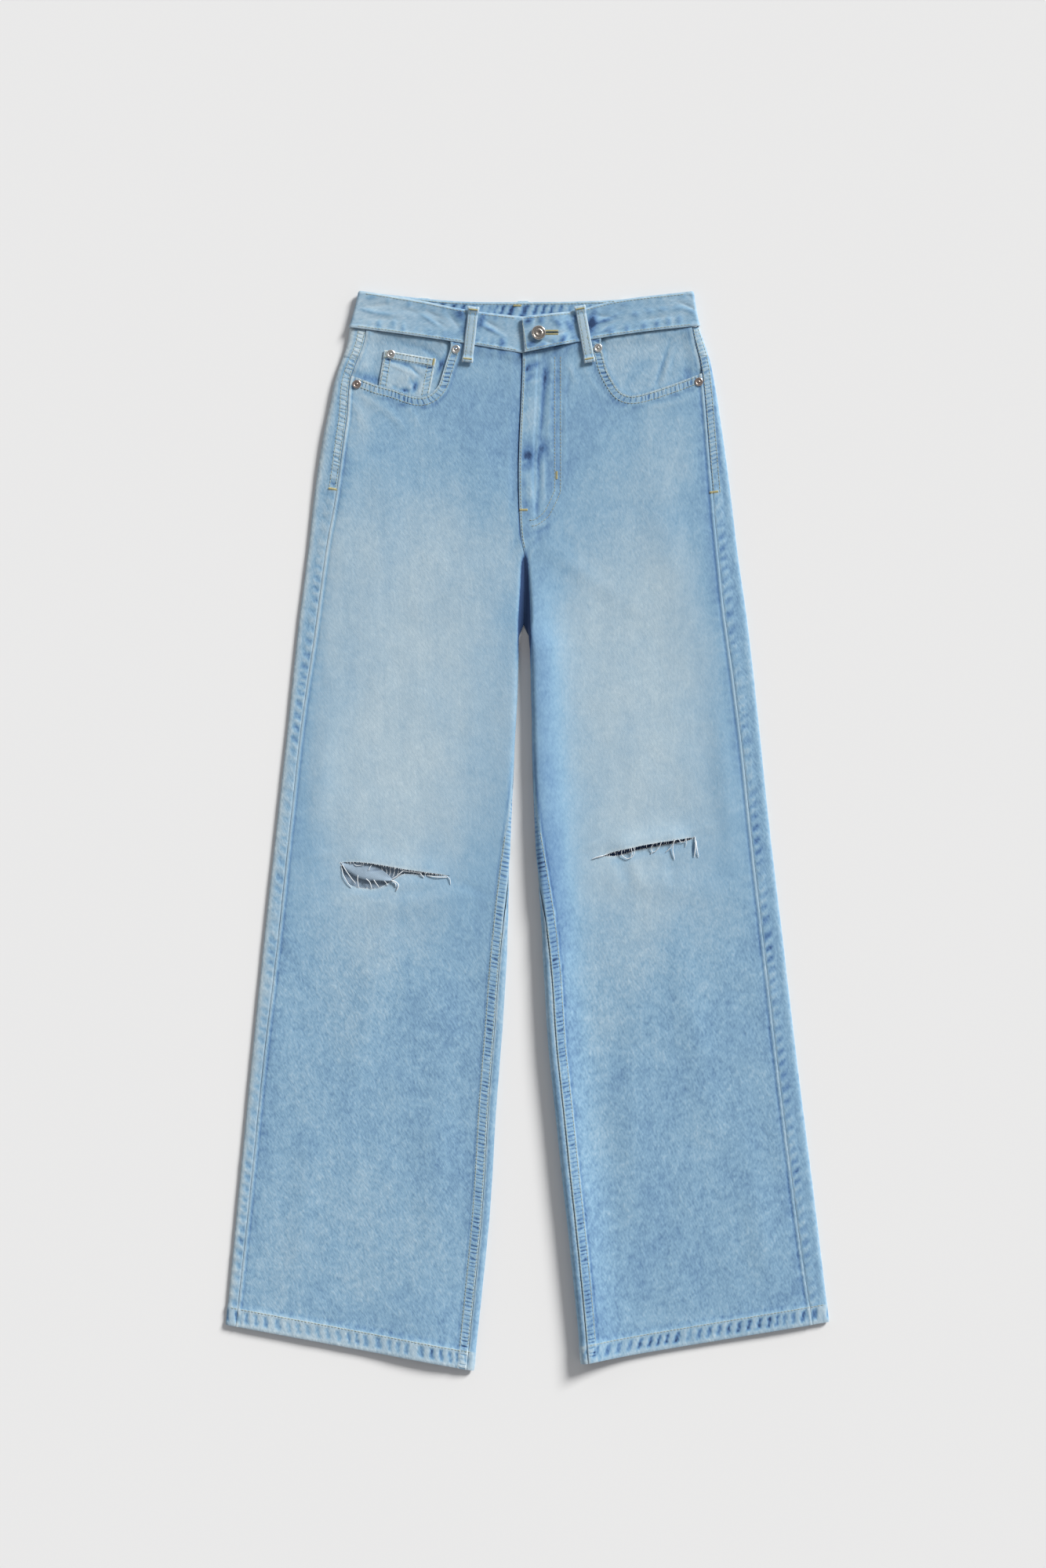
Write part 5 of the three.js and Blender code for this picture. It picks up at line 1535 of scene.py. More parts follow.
def zip_closure(context):
    """The zip's tape, and its closed teeth as a piece of their own. Returns the tape."""
    plan = quad_patch(ZIP_CORNERS, 12, 66)[0]
    _, _, low, high = centre_of("zip")
    level = (low + high) / 2
    looks = {"wash": 0.5, "cloth": grain(plan[..., 0], plan[..., 1], 3.2)}
    tape = cloth_shell("zip_tape", lifted(plan, level), high - low, -1, looks, [zip_tape_material()])
    replacing(tape, "zip")
    heights = np.arange(plan[-1, 6, 1] + 4, plan[0, 6, 1] - 3, ZIP_PITCH)
    offset = np.where(np.arange(len(heights)) % 2, 0.8, -0.8)
    places = np.stack([plan[33, 6, 0] + offset, heights, np.full(len(heights), level)], axis=1)
    points, faces = box_mesh(places, np.array(ZIP_TOOTH) / 2 * np.array([0.6, 1, 0.5]))
    mesh = mesh_of("zip_teeth", points, faces, 30)
    paint(mesh, "hollow", np.zeros(len(points)))
    metal = worn_metal("zip metal", context.scene.jeans_metal.nickel, 300, 0.5)
    put("zip_teeth", mesh, [metal])
    return tape


# ---------------------------------------------------------------------------------------------------------
# Waistband and belt loops.
# ---------------------------------------------------------------------------------------------------------

BAND_BACK = 3.2
BAND_FRONT = 6.6
BAND_UNDER = 6.3
BAND_OVER = 9.6
BAND_FOLD = (BAND_FRONT - BAND_BACK) / 2
UNDERLAP = 28
BAND_END = -3
EYELET = 2.7
SLIT = 20.6
STITCH_LIFTS = (0.05, 0.35, -0.1)
FRONT_TOP = [(-176, 565), (-112, 554.5), (-63, 544.7), (-8, 538), (-1, 538), (49, 544), (92, 554.5),
             (173, 564.4)]
BACK_TOP = [(-176, 565), (-133, 559.4), (-68, 553.8), (-4.5, 553.3), (55, 554), (112, 557), (173, 564.4)]
LEAN = [(-186, 10), (-125, 8), (-62, 6), (-5, -3), (30, -4), (62, -7), (180, -6.6)]
BACK_LEAN = [(-186, 10), (-5, 0), (180, -6.6)]

# Creases in the front of the waistband, like FRONT_MARKS: their darker wash is partly worn indigo and partly
# painted shade in the dents.
BAND_MARKS = [
    (-162, 558, 10, 9, 2.2, -0.5, -0.20), (-146, 555, 80, 4, 2.4, -0.5, -0.22),
    (-124, 551, 80, 4, 2.0, -0.4, -0.18), (-108, 549, 80, 4, 2.0, -0.4, -0.16),
    (-88, 546, 80, 4, 2.0, -0.4, -0.18), (-166, 543.5, -12, 9, 1.8, -0.5, -0.22),
    (-150, 540.5, -4, 10, 1.8, -0.5, -0.20), (-155.6, 529, 90, 5, 1.8, -0.4, -0.24),
    (-140, 530, 88, 5, 2.0, -0.4, -0.18), (-130.5, 526, 90, 6, 1.8, -0.4, -0.24),
    (-103, 520, 86, 5, 2.4, -0.4, -0.20), (-88, 516, 86, 6, 2.2, -0.4, -0.20),
    (-104, 535, -34, 11, 1.6, -0.5, -0.20), (-99, 540, -28, 12, 2.2, 0.5, 0.10),
    (-92, 531, -36, 8, 1.8, 0.4, 0.08), (-156, 549, 8, 16, 2.6, 0.5, 0.10),
    (-152, 535, 0, 14, 2.2, 0.4, 0.10), (-120, 543, -12, 16, 3, 0.4, 0.08),
    (-70.5, 540, -50, 10, 5.0, -0.6, -0.40), (-67, 523, 75, 7, 4.0, -0.5, -0.34),
    (-77, 533, -54, 12, 2.0, 0.5, 0.10), (-48, 533, 60, 10, 4.2, -0.6, -0.42),
    (-39, 524, -28, 12, 1.5, -0.7, -0.36), (-37, 529, -30, 10, 2.0, 0.5, 0.12),
    (-27, 510, 80, 6, 3.6, -0.5, -0.44), (-15.5, 508, 75, 6, 2.6, -0.4, -0.26),
    (-33, 537, 70, 4, 2.4, -0.4, -0.22), (-20, 531, 80, 5, 2.2, -0.4, -0.22),
    (-12, 519, 88, 12, 2.0, -0.5, -0.30), (-17, 522, 80, 10, 2.0, 0.4, 0.10),
    (-0.5, 532, 50, 6, 3, -0.5, -0.42), (8, 533, 70, 5, 2.0, 0.5, 0.16),
    (14, 533, 100, 4, 2.4, -0.4, -0.30), (3, 508.5, 20, 6, 3.4, -0.5, -0.40),
    (13, 505.5, 10, 5, 2.4, -0.4, -0.30), (25, 505.5, 30, 7, 3, -0.5, -0.38),
    (22, 510, 160, 8, 1.8, 0.5, 0.14), (31, 531, 130, 7, 3, -0.5, -0.36), (37, 513, 60, 8, 3, -0.5, -0.38),
    (33, 520, 10, 8, 1.8, 0.5, 0.14), (44, 527, 120, 9, 3.4, -0.6, -0.40),
    (49, 536, 80, 8, 2.8, -0.6, -0.42), (52, 511, 80, 7, 2.8, -0.5, -0.36),
    (46, 541, 20, 7, 1.6, 0.4, 0.12), (67.5, 533, 72, 9, 5.4, -0.8, -0.58),
    (66, 521, 80, 8, 3.2, -0.5, -0.34), (80, 533, 14, 12, 1.6, -0.5, -0.28),
    (78, 538, -8, 12, 2.0, 0.6, 0.16), (88, 537, 24, 12, 1.5, -0.4, -0.18),
    (84, 528, 30, 12, 2.2, 0.4, 0.10), (82, 523.5, 30, 9, 1.6, -0.4, -0.20),
    (88, 520.5, 70, 4, 3.4, -0.5, -0.24), (104, 524, 84, 5, 2.6, -0.4, -0.22),
    (121, 527, 86, 5, 2.8, -0.5, -0.26), (135, 530, 86, 5, 2.4, -0.4, -0.22),
    (147, 533, 86, 5, 2.4, -0.5, -0.26), (158, 534, 86, 5, 3.0, -0.5, -0.26),
    (112, 540, 10, 4, 2.6, -0.5, -0.22), (127, 543, 0, 5, 2.8, -0.5, -0.22),
    (141, 545, 0, 5, 2.4, -0.5, -0.24), (157, 546, 10, 6, 2.6, -0.5, -0.22),
    (134, 536, 8, 16, 2.4, 0.5, 0.10), (167, 560, -30, 8, 1.6, 0.4, 0.10),
    (168, 548, -24, 11, 1.8, 0.7, 0.16), (170.5, 543.5, -28, 9, 2.8, -0.6, -0.26),
    (100, 550, 14, 5, 2.0, -0.3, -0.16),
]


def waist_seam(x, is_back):
    """The height of the waist seam at each x, along the front or along the back."""
    heights = np.zeros_like(x, dtype=float)
    for leg, here in ((RIGHT, x < CENTRE_BACK), (LEFT, x >= CENTRE_BACK)):
        row = rows_at(leg, np.zeros_like(x, dtype=float))
        inset = np.abs(x - row.outer_x) / np.abs(row.across_x)
        share = np.clip((inset - FOLD_REACH) / (row.width - FOLD_REACH), 0, 1)
        row = rows_at(leg, np.where(is_back, back_waist(share), 0))
        heights = np.where(here, plan_point(row, inset)[1], heights)
    return heights + np.where(is_back, 3 * SEAM_GAP, 1.5 * SEAM_GAP)


def band_stations():
    """Places along the waistband's strip: x, how far out its fold carries it, if on the back, and height."""
    right_fold = float(rows_at(RIGHT, 0.0).outer_x) + BAND_FOLD
    left_fold = float(rows_at(LEFT, 0.0).outer_x) - BAND_FOLD
    turns = np.radians(np.linspace(90, -90, 10))[1:-1]
    parts = []

    def run(x, is_back, height, out=0.0):
        x, out, height = np.broadcast_arrays(np.asarray(x, dtype=float), out, height)
        parts.append(np.stack([x, out, np.full(x.shape, float(is_back)), height], axis=1))

    under = np.linspace(UNDERLAP, -24, 26)
    run(under, False, mix(BAND_FRONT, BAND_UNDER, soft(-24, -4, under)))
    run(np.linspace(-25.5, right_fold, 92), False, BAND_FRONT)
    middle = (BAND_FRONT + BAND_BACK) / 2
    run(np.full(8, right_fold), False, middle + BAND_FOLD * np.sin(turns), -BAND_FOLD * np.cos(turns))
    run(np.linspace(right_fold, left_fold, 130), True, BAND_BACK)
    run(np.full(8, left_fold), False, middle - BAND_FOLD * np.sin(turns), BAND_FOLD * np.cos(turns))
    run(np.linspace(left_fold, 54, 66), False, BAND_FRONT)
    rise = np.linspace(52, 34, 14)
    run(rise, False, mix(BAND_OVER, BAND_FRONT, soft(34, 52, rise)))
    run(np.linspace(33.2, BAND_END, 46), False, BAND_OVER)
    return np.concatenate(parts)


def keyhole():
    """The outline of the buttonhole: an eyelet round the shank and a slit beside it."""
    x, y, _, _ = centre_of("button")
    turns = np.linspace(0.4, 2 * np.pi - 0.2, 14)
    eyelet = [(x + EYELET * np.cos(turn), y + EYELET * np.sin(turn)) for turn in turns]
    return x, y, eyelet + [(x + SLIT, y), (x + SLIT + 0.6, y + 0.6), (x + SLIT, y + 1.2)]


def waistband(context):
    """The doubled waistband, closed left over right, with its buttonhole."""
    sizes = context.scene.jeans_cloth
    stations = band_stations()
    x, out, is_back, height = (stations[:, k] for k in range(4))
    is_back = is_back > 0.5
    share = np.linspace(0, 1, 35)[:, None]
    high_x = x + np.where(is_back, along(BACK_LEAN, x), along(LEAN, x))
    high_y = np.where(is_back, along(BACK_TOP, high_x), along(FRONT_TOP, high_x))
    low_y = waist_seam(x, is_back)
    plan_x = mix(x + out, high_x + out, share)
    plan_y = mix(low_y, high_y, share)
    # The free end's upper corner is rounded.
    from_end = np.maximum(plan_x - (BAND_END + along(LEAN, BAND_END) * share), 0)
    near_end = (height > BAND_FRONT + 1.5) & ~is_back
    corner = np.where(near_end, 2.6 * bell(from_end, 4.5) * bell(1 - share, 0.16), 0)
    plan_y = plan_y - corner
    middle = np.stack(np.broadcast_arrays(plan_x, plan_y, height), axis=-1).astype(float)
    px, py = middle[..., 0].copy(), middle[..., 1].copy()

    depth = np.abs(high_y - low_y) * np.ones_like(share)
    below_top, above_seam = (1 - share) * depth, share * depth
    edge = np.minimum(below_top, above_seam)
    lengths = np.hypot(np.diff(x + out), np.diff(height))
    travel = np.concatenate([[0], np.cumsum(lengths)]) * np.ones_like(share)
    lower = uneven_rungs(travel + above_seam * 0.3, 12, 301)
    upper = uneven_rungs(travel - below_top * 0.3, 13, 305)
    wash = 0.58 + 0.04 * lumps(travel, py, 26, 303) + 0.12 * (1 - soft(-170, -90, px))
    pulled = 0.20 * lower * bell(above_seam - 5, 5) + 0.15 * upper * bell(below_top - 5, 4.5)
    near_button = np.maximum(bell(px - 22, 34), 0.55 * bell(px + 62, 22)) * ~is_back
    wash -= pulled * (0.8 + 1.1 * near_button)
    rise = 0.35 * np.sin(np.pi * share) + 0.18 * lumps(travel, py, 17, 304)
    rise -= (0.40 * lower * bell(above_seam - 5, 5) + 0.35 * upper * bell(below_top - 5, 5)) * sizes.pucker
    folds = 0.20 * bell(below_top - 0.8, 1.2) - 0.80 * bell(above_seam, 2.0) * ~is_back
    rise += folds - 0.22 * bell(edge - 2.6, 0.9)
    front = ~is_back & (height >= BAND_FRONT - 0.01)
    wash, rise = with_marks(BAND_MARKS, px, py, wash, rise, sizes.crease, front)
    wash += 0.16 * bell(below_top - 0.6, 1.4) + 0.16 * bell(above_seam - 0.6, 1.4)
    from_free_end = np.where(near_end, px - px[:, -1:], 99)
    wash += 0.26 * bell(from_free_end - 0.6, 1.4)

    # Behind the front, the inside of the back of the band shows: bluer and more puckered.
    inside = soft(0.1, 0.75, uneven_rungs(travel + below_top * 0.4, 10.5, 311))
    behind = 0.60 - 0.60 * inside * soft(1.5, 4.5, below_top) + 0.05 * bell(below_top - 0.6, 1.4)
    wash = np.where(is_back, behind, wash)
    rise = np.where(is_back, 0.45 - 0.6 * inside * soft(2, 5, below_top), rise)

    kept, _ = trim(px, py, keyhole()[2], middle)
    kept |= ~((height[:-1] > BAND_FRONT + 1.5) & (px[0, :-1] < 40))[None, :]
    changed = np.repeat(~near_end[None, :], px.shape[0], axis=0)
    middle[..., 0] = np.where(changed, px, middle[..., 0])
    middle[..., 1] = np.where(changed, py, middle[..., 1])
    normal = slopes(middle)
    middle = middle + normal * rise[..., None]
    looks = {
        "wash": wash, "cloth": grain(plan_y + 500, travel, 3.9), "ladder": 0.0,
        "seam": seam_place(travel, edge), "mottle": 0.85, "depth": 0.1,
    }
    piece = cloth_shell("waistband_denim", middle, BAND, 1, looks, [denim_face(context)], kept)
    return replacing(piece, "waistband")


HALF_LOOP = 5.2
LOOP_OVER_BAND = BAND_FRONT + BAND / 2 + SEAM_GAP + LOOP / 2 + 0.5
LOOP_OVER_DENIM = LOOP_OVER_BAND - 1.4
LOOPS = {
    "front_right": ((-56.2, 547.5, LOOP_OVER_BAND), (-62.9, 489.5, LOOP_OVER_DENIM)),
    "front_left": ((54.6, 548.5, LOOP_OVER_BAND), (65.3, 489.5, LOOP_OVER_DENIM)),
    "back_right": ((-108, 558, LOOP / 2), (-112, 506.5, LOOP / 2)),
    "back_left": ((103, 557, LOOP / 2), (107, 508, LOOP / 2)),
    "back_centre": ((-4.5, 555, LOOP / 2), (-4.5, 502, LOOP / 2)),
}


def belt_loop(context, name, top, foot, seed):
    """A folded strip over the waistband, doubled under at both ends, where its bar tacks hold it."""
    start, end = np.array(top), np.array(foot)
    length = np.linalg.norm(end - start)
    t = np.linspace(0, 1, 61)[:, None]
    across = np.linspace(-1, 1, 17)[None, :]
    line = mix(start, end, t[..., None])
    sideways = np.array([start[1] - end[1], end[0] - start[0], 0]) / length
    from_end = np.minimum(t, 1 - t) * length
    wide = HALF_LOOP + 0.7 * bell(from_end - 2.5, 3.5) + 0.15 * lumps(t * length, across * 0 + seed, 9, seed)
    middle = line + sideways * (across * wide)[..., None]
    x, y = middle[..., 0].copy(), middle[..., 1].copy()
    wall = LOOP
    if top[2] > BAND_FRONT:
        rise = 0.30 * (1 - across**8) + 0.05 * lumps(x, y, 5, seed) - 0.16 * bell(np.abs(across) - 0.52, 0.09)
        rise = rise + 0.5 * bell(from_end - 2.5, 3.2) - 0.4 * bell(from_end - 8.5, 2.2)
        middle[..., 2] += rise + 0.35 * np.sin(np.pi * t)
        wall = LOOP + 0.7 * bell(from_end - 2.5, 3.2)
    wash = 0.76 + 0.05 * lumps(x, y, 7, seed + 1) - 0.30 * bell(np.abs(across) - 0.52, 0.10)
    worn = 0.18 * bell(1 - np.abs(across), 0.16) - 0.24 * bell(from_end - 7.5, 1.4)
    wash += worn + 0.12 * bell(from_end, 2)
    looks = {
        "wash": wash, "cloth": grain(x * 1.3, y, 4.2 + seed * 0.1), "ladder": 0.0,
        "seam": seam_place(y, x), "mottle": 0.6, "depth": 0.1,
    }
    piece = cloth_shell(f"belt_loop_denim_{name}", middle, wall, -1, looks, [denim_face(context)])
    return replacing(piece, f"belt_loop_{name}")


# ---------------------------------------------------------------------------------------------------------
# Thread: topstitching, bar tacks, the buttonhole and the frayed yarns of the rips.
# ---------------------------------------------------------------------------------------------------------

class Cloth:
    """Finds the surface of the finished cloth from above or from below."""

    def __init__(self, names=None):
        points, faces, count = [], [], 0
        for piece in bpy.context.scene.objects:
            if piece.type != "MESH" or "denim" not in piece.name or piece.hide_render:
                continue
            if names and not piece.name.startswith(names):
                continue
            mesh = piece.data
            places = np.empty(len(mesh.vertices) * 3, dtype=np.float32)
            mesh.vertices.foreach_get("co", places)
            corners = np.empty(len(mesh.loops), dtype=np.int32)
            mesh.loops.foreach_get("vertex_index", corners)
            points.append(places.reshape(-1, 3))
            faces.append(corners.reshape(-1, 4) + count)
            count += len(mesh.vertices)
        self.tree = BVHTree.FromPolygons(np.concatenate(points).tolist(), np.concatenate(faces).tolist())

    def touch(self, x, y, from_below=False):
        """The place and normal of the surface at x and y, in millimetres, or None where there is no cloth."""
        height, fall = (-0.02, 1) if from_below else (0.05, -1)
        place, normal, _, _ = self.tree.ray_cast(Vector((x * MM, y * MM, height)), Vector((0, 0, fall)))
        if place is None:
            return None
        return np.array(place) / MM, np.array(normal)


def resampled(line, pitch):
    """Places along an open line, one pitch apart."""
    line = np.asarray(line, dtype=float)
    lengths = np.concatenate([[0], np.cumsum(np.linalg.norm(np.diff(line, axis=0), axis=1))])
    at = np.arange(0, lengths[-1] + 1e-6, pitch)
    return np.stack([np.interp(at, lengths, line[:, axis]) for axis in range(line.shape[1])], axis=1)


class ThreadWork:
    """Collects many short threads and joins them as one mesh."""
    SIDES = 6

    def __init__(self):
        self.points, self.faces, self.count = [], [], 0

    def strand(self, line, radii):
        """A round thread through places in millimetres, with a radius at each."""
        line = np.asarray(line, dtype=float)
        radii = np.broadcast_to(np.asarray(radii, dtype=float), len(line))
        course = np.gradient(line, axis=0)
        course /= np.maximum(np.linalg.norm(course, axis=1, keepdims=True), 1e-9)
        upright = np.where(np.abs(course[:, 2:]) > 0.9, np.array([[1.0, 0, 0]]), np.array([[0, 0, 1.0]]))
        beside = np.cross(course, upright)
        beside /= np.maximum(np.linalg.norm(beside, axis=1, keepdims=True), 1e-9)
        above = np.cross(beside, course)
        turns = np.linspace(0, 2 * np.pi, self.SIDES, endpoint=False)
        ring = np.cos(turns)[None, :, None] * beside[:, None] + np.sin(turns)[None, :, None] * above[:, None]
        places = line[:, None] + ring * radii[:, None, None]
        number = self.count + np.arange(places.shape[0] * self.SIDES).reshape(-1, self.SIDES)
        following = np.roll(number, -1, axis=1)
        walls = np.stack([number[:-1], number[1:], following[1:], following[:-1]], axis=-1)
        self.points.append(places.reshape(-1, 3))
        self.faces += walls.reshape(-1, 4).tolist()
        self.faces += [number[0].tolist(), number[-1][::-1].tolist()]
        self.count += places.shape[0] * self.SIDES

    def stitches(self, cloth, line, sizes, from_below=False):
        """A row of stitches that sink into the cloth at both ends, along a line seen from above."""
        length, radius = sizes.stitch / MM, sizes.thread / MM
        gap = 0.55
        places = resampled(line, (length + gap) / 2)
        for start, end in zip(places[:-2:2], places[1::2]):
            end = start + (end - start) * 2 * length / (length + gap)
            touches = [cloth.touch(*mix(start, end, t), from_below) for t in (0.0, 0.5, 1.0)]
            if any(touch is None for touch in touches):
                continue
            heights = [touch[0][2] for touch in touches]
            if max(heights) - min(heights) > 1.2:
                continue
            lifts = (-0.35, -0.25, -0.35) if from_below else (-0.10, 0.20, -0.10)
            ridge = [place + normal * lift for (place, normal), lift in zip(touches, lifts)]
            self.strand(ridge, np.array([0.55, 1.0, 0.55]) * radius)

    def tack(self, cloth, x, y, degrees, length, width, radius, from_below=False):
        """A bar tack: close stitches side by side, laid across a bar."""
        turn = np.radians(degrees)
        lengthwise = np.array([np.cos(turn), np.sin(turn)])
        across = np.array([-np.sin(turn), np.cos(turn)])
        for step in np.arange(-length / 2, length / 2 + 1e-6, radius * 1.7):
            middle = np.array([x, y]) + lengthwise * step
            touches = [cloth.touch(*(middle + across * side * width / 2), from_below) for side in (-1, 0, 1)]
            if any(touch is None for touch in touches):
                continue
            lifts = (-0.35, -0.15, -0.35) if from_below else (-0.15, 0.45, -0.15)
            ends = [place + normal * lift for (place, normal), lift in zip(touches, lifts)]
            self.strand(ends, np.array([0.7, 1.0, 0.7]) * radius)

    def piece(self, name, material, slot=DENIM_SLOT):
        mesh = mesh_of(name, np.concatenate(self.points), self.faces, 70)
        return put(name, mesh, [material])


def leg_line(leg, v, inset):
    """A line down a leg on the plan, at an inset from the outer fold for each v."""
    return np.stack(plan_point(rows_at(leg, v), inset), axis=1)


def offset_line(line, distance):
    """An open line moved sideways, to the left of its course for plus."""
    line = np.asarray(line, dtype=float)
    course = np.gradient(line, axis=0)
    course /= np.linalg.norm(course, axis=1, keepdims=True)
    return line + np.stack([-course[:, 1], course[:, 0]], axis=1) * distance


FLY_OUTER = [(34.6, 496), (34.6, 440), (34.6, 363), (33, 351), (25, 334), (20, 327), (9, 319.5), (1, 319)]
FLY_INNER = [(28.6, 496), (28.6, 440), (28.6, 364), (27.4, 354), (21, 339.5), (16.5, 332.5), (7.5, 325.5),
             (1, 325)]


def leg_stitch_lines(leg):
    """Topstitching on the front of a leg, as lines seen from above."""
    lines = []
    hip = np.linspace(0.002, (leg.waist_outer - leg.tack_height) / (leg.waist_outer - leg.hem_outer), 60)
    rows = rows_at(leg, hip)
    for beyond in (1.4, 8.0):
        lines.append(leg_line(leg, hip, np.maximum(outseam_inset(rows) - beyond, 1.2)))
    for beyond, first in ((1.0, 0.57), (9.4, 0.475)):
        down = np.linspace(first, HEM_START - 0.002, 160)
        rows = rows_at(leg, down)
        from_fold = inseam(rows)[0] + beyond - FOLD_ARC + FOLD_REACH
        lines.append(leg_line(leg, down, rows.width - from_fold))
    mouth = smooth_line(leg.scoop, 60)
    mouth = mouth[(np.abs(mouth[:, 0]) < 178) & (mouth[:, 1] < 506)]
    for beyond in (1.8, 8.4):
        lines.append(offset_line(mouth, leg.toward * beyond))
    return lines


def hem_line(leg, height, pieces=90):
    """A line above a hem's edge, from the outer fold to the inner one."""
    share = np.linspace(0.012, 0.985, pieces)
    rows = rows_at(leg, 1 - height / leg_length(leg, share))
    return np.stack(plan_point(rows, share * rows.width), axis=1)


def band_line(below_top=None, above_seam=None, is_back=False, low=-176.0, high=172.0):
    """A line along the waistband, a distance in from its top edge or from its seam."""
    x = np.linspace(low, high, 170)
    high_x = x + (along(BACK_LEAN, x) if is_back else along(LEAN, x))
    top = np.stack([high_x, along(BACK_TOP if is_back else FRONT_TOP, high_x)], axis=1)
    foot = np.stack([x, waist_seam(x, np.full(x.shape, is_back))], axis=1)
    run = np.linalg.norm(top - foot, axis=1, keepdims=True)
    share = 1 - below_top / run if below_top is not None else above_seam / run
    return mix(foot, top, share)


def topstitching(context):
    """The stitch lines of the legs, fly, waistband, coin pocket and seat."""
    sizes = context.scene.jeans_cloth
    material = thread_material("washed thread", context.scene.jeans_colours.thread)
    legs = Cloth(("front_denim", "back_denim", "yoke_denim"))
    pieces = []
    for leg in (RIGHT, LEFT):
        work = ThreadWork()
        for line in leg_stitch_lines(leg):
            work.stitches(legs, line, sizes)
        for from_below in (False, True):
            work.stitches(legs, hem_line(leg, HEM_DEPTH - 1.5), sizes, from_below)
        pieces.append(work.piece(f"topstitching_leg_{leg.side}", material))

    fly = ThreadWork()
    for line in (FLY_OUTER, FLY_INNER):
        fly.stitches(legs, smooth_line(line, 80), sizes)
    edge = np.linspace(494, 294, 70)
    fly.stitches(legs, np.stack([along(CENTRE_FRONT, edge) + 2.0, edge], axis=1), sizes)
    pieces.append(fly.piece("topstitching_fly", material))

    cloth = Cloth(("waistband_denim", "belt_loop_denim"))
    band = ThreadWork()
    for low, high in ((-178, -66), (-57, -9), (-1, 52), (62, 172)):
        band.stitches(cloth, band_line(below_top=2.4, low=low, high=high), sizes)
        band.stitches(cloth, band_line(above_seam=2.2, low=low, high=high), sizes)
    band.stitches(cloth, band_line(below_top=2.2, is_back=True, low=-120, high=96), sizes)
    for inset in ({"below_top": 2.4}, {"above_seam": 2.2}):
        band.stitches(cloth, band_line(is_back=True, low=-174, high=170, **inset), sizes, from_below=True)
    end = np.array([(BAND_END + 2.2, 503), (BAND_END - 0.6, 520), (BAND_END - 2.6, 534)])
    band.stitches(cloth, end, sizes)
    for top, foot in LOOPS.values():
        start, stop = np.array(top[:2]), np.array(foot[:2])
        for side in (-2.7, 2.7):
            line = offset_line(mix(start, stop, np.linspace(0.10, 0.90, 20)[:, None]), side)
            band.stitches(cloth, line, sizes, from_below=top[2] < BAND_FRONT)
    pieces.append(band.piece("topstitching_waistband", material))

    coin = Cloth(("coin_pocket_denim",))
    pocket = ThreadWork()
    top_left, top_right, low_right, low_left = (np.array(corner, dtype=float) for corner in COIN_CORNERS)
    for inset in (1.6, 7.0):
        line = mix(top_left, top_right, np.linspace(0.03, 0.97, 20)[:, None])
        pocket.stitches(coin, offset_line(line, -inset), sizes)
    for inset in (1.8, 7.6):
        left = offset_line(mix(top_left, low_left, np.linspace(0.04, 0.9, 20)[:, None]), inset)
        right = offset_line(mix(top_right, low_right, np.linspace(0.04, 0.9, 20)[:, None]), -inset)
        pocket.stitches(coin, left, sizes)
        pocket.stitches(coin, right, sizes)
    pieces.append(pocket.piece("topstitching_coin_pocket", material))

    seat = ThreadWork()
    back = Cloth(("back_denim", "yoke_denim", "back_pocket_denim"))
    height = np.linspace(486, 262, 80)
    for side in (1.4, 8.4):
        line = np.stack([np.full(80, CENTRE_BACK + side), height], axis=1)
        seat.stitches(back, line, sizes, from_below=True)
    for leg in (RIGHT, LEFT):
        share = np.linspace(0.03, 0.985, 70)
        for below in (1.4, 8.2):
            rows = rows_at(leg, yoke_seam(share) + below / LEG_LENGTH)
            line = np.stack(plan_point(rows, mix(FOLD_REACH, rows.width, share)), axis=1)
            seat.stitches(back, line, sizes, from_below=True)
        plan, _, _, _ = back_pocket_plan(leg)
        outline = np.concatenate([plan[:, 0], plan[-1, 1:], plan[::-1, -1][1:]])
        middle = plan.reshape(-1, 2).mean(axis=0)
        for inset in (0.975, 0.88):
            seat.stitches(back, middle + (outline - middle) * inset, sizes, from_below=True)
        seat.stitches(back, plan[6, 1:-1], sizes, from_below=True)
    pieces.append(seat.piece("topstitching_seat", material))
    return pieces


# Bar tacks: (x, y, direction in degrees, length, width).
SIDE_TACKS = [(-204, 357.7, 172, 9, 2.4), (195.4, 354.4, 8, 9, 2.4)]
FLY_TACK = (30.5, 372, 90, 8, 2.2)
COIN_TACK = (-98.2, 490.5, 80, 6.5, 2.2)
WAIST_TACK = (-10.5, 549.5, 0, 8, 2.0)
FLY_FOOT = 335.6


def buttonhole_stitch(work, cloth, places, radius):
    """One stitch over the places, high in its middle, where all of them lie on the cloth."""
    touches = [cloth.touch(x, y) for x, y in places]
    if all(touches):
        points = [place + normal * lift for (place, normal), lift in zip(touches, STITCH_LIFTS)]
        work.strand(points, radius * 0.85)


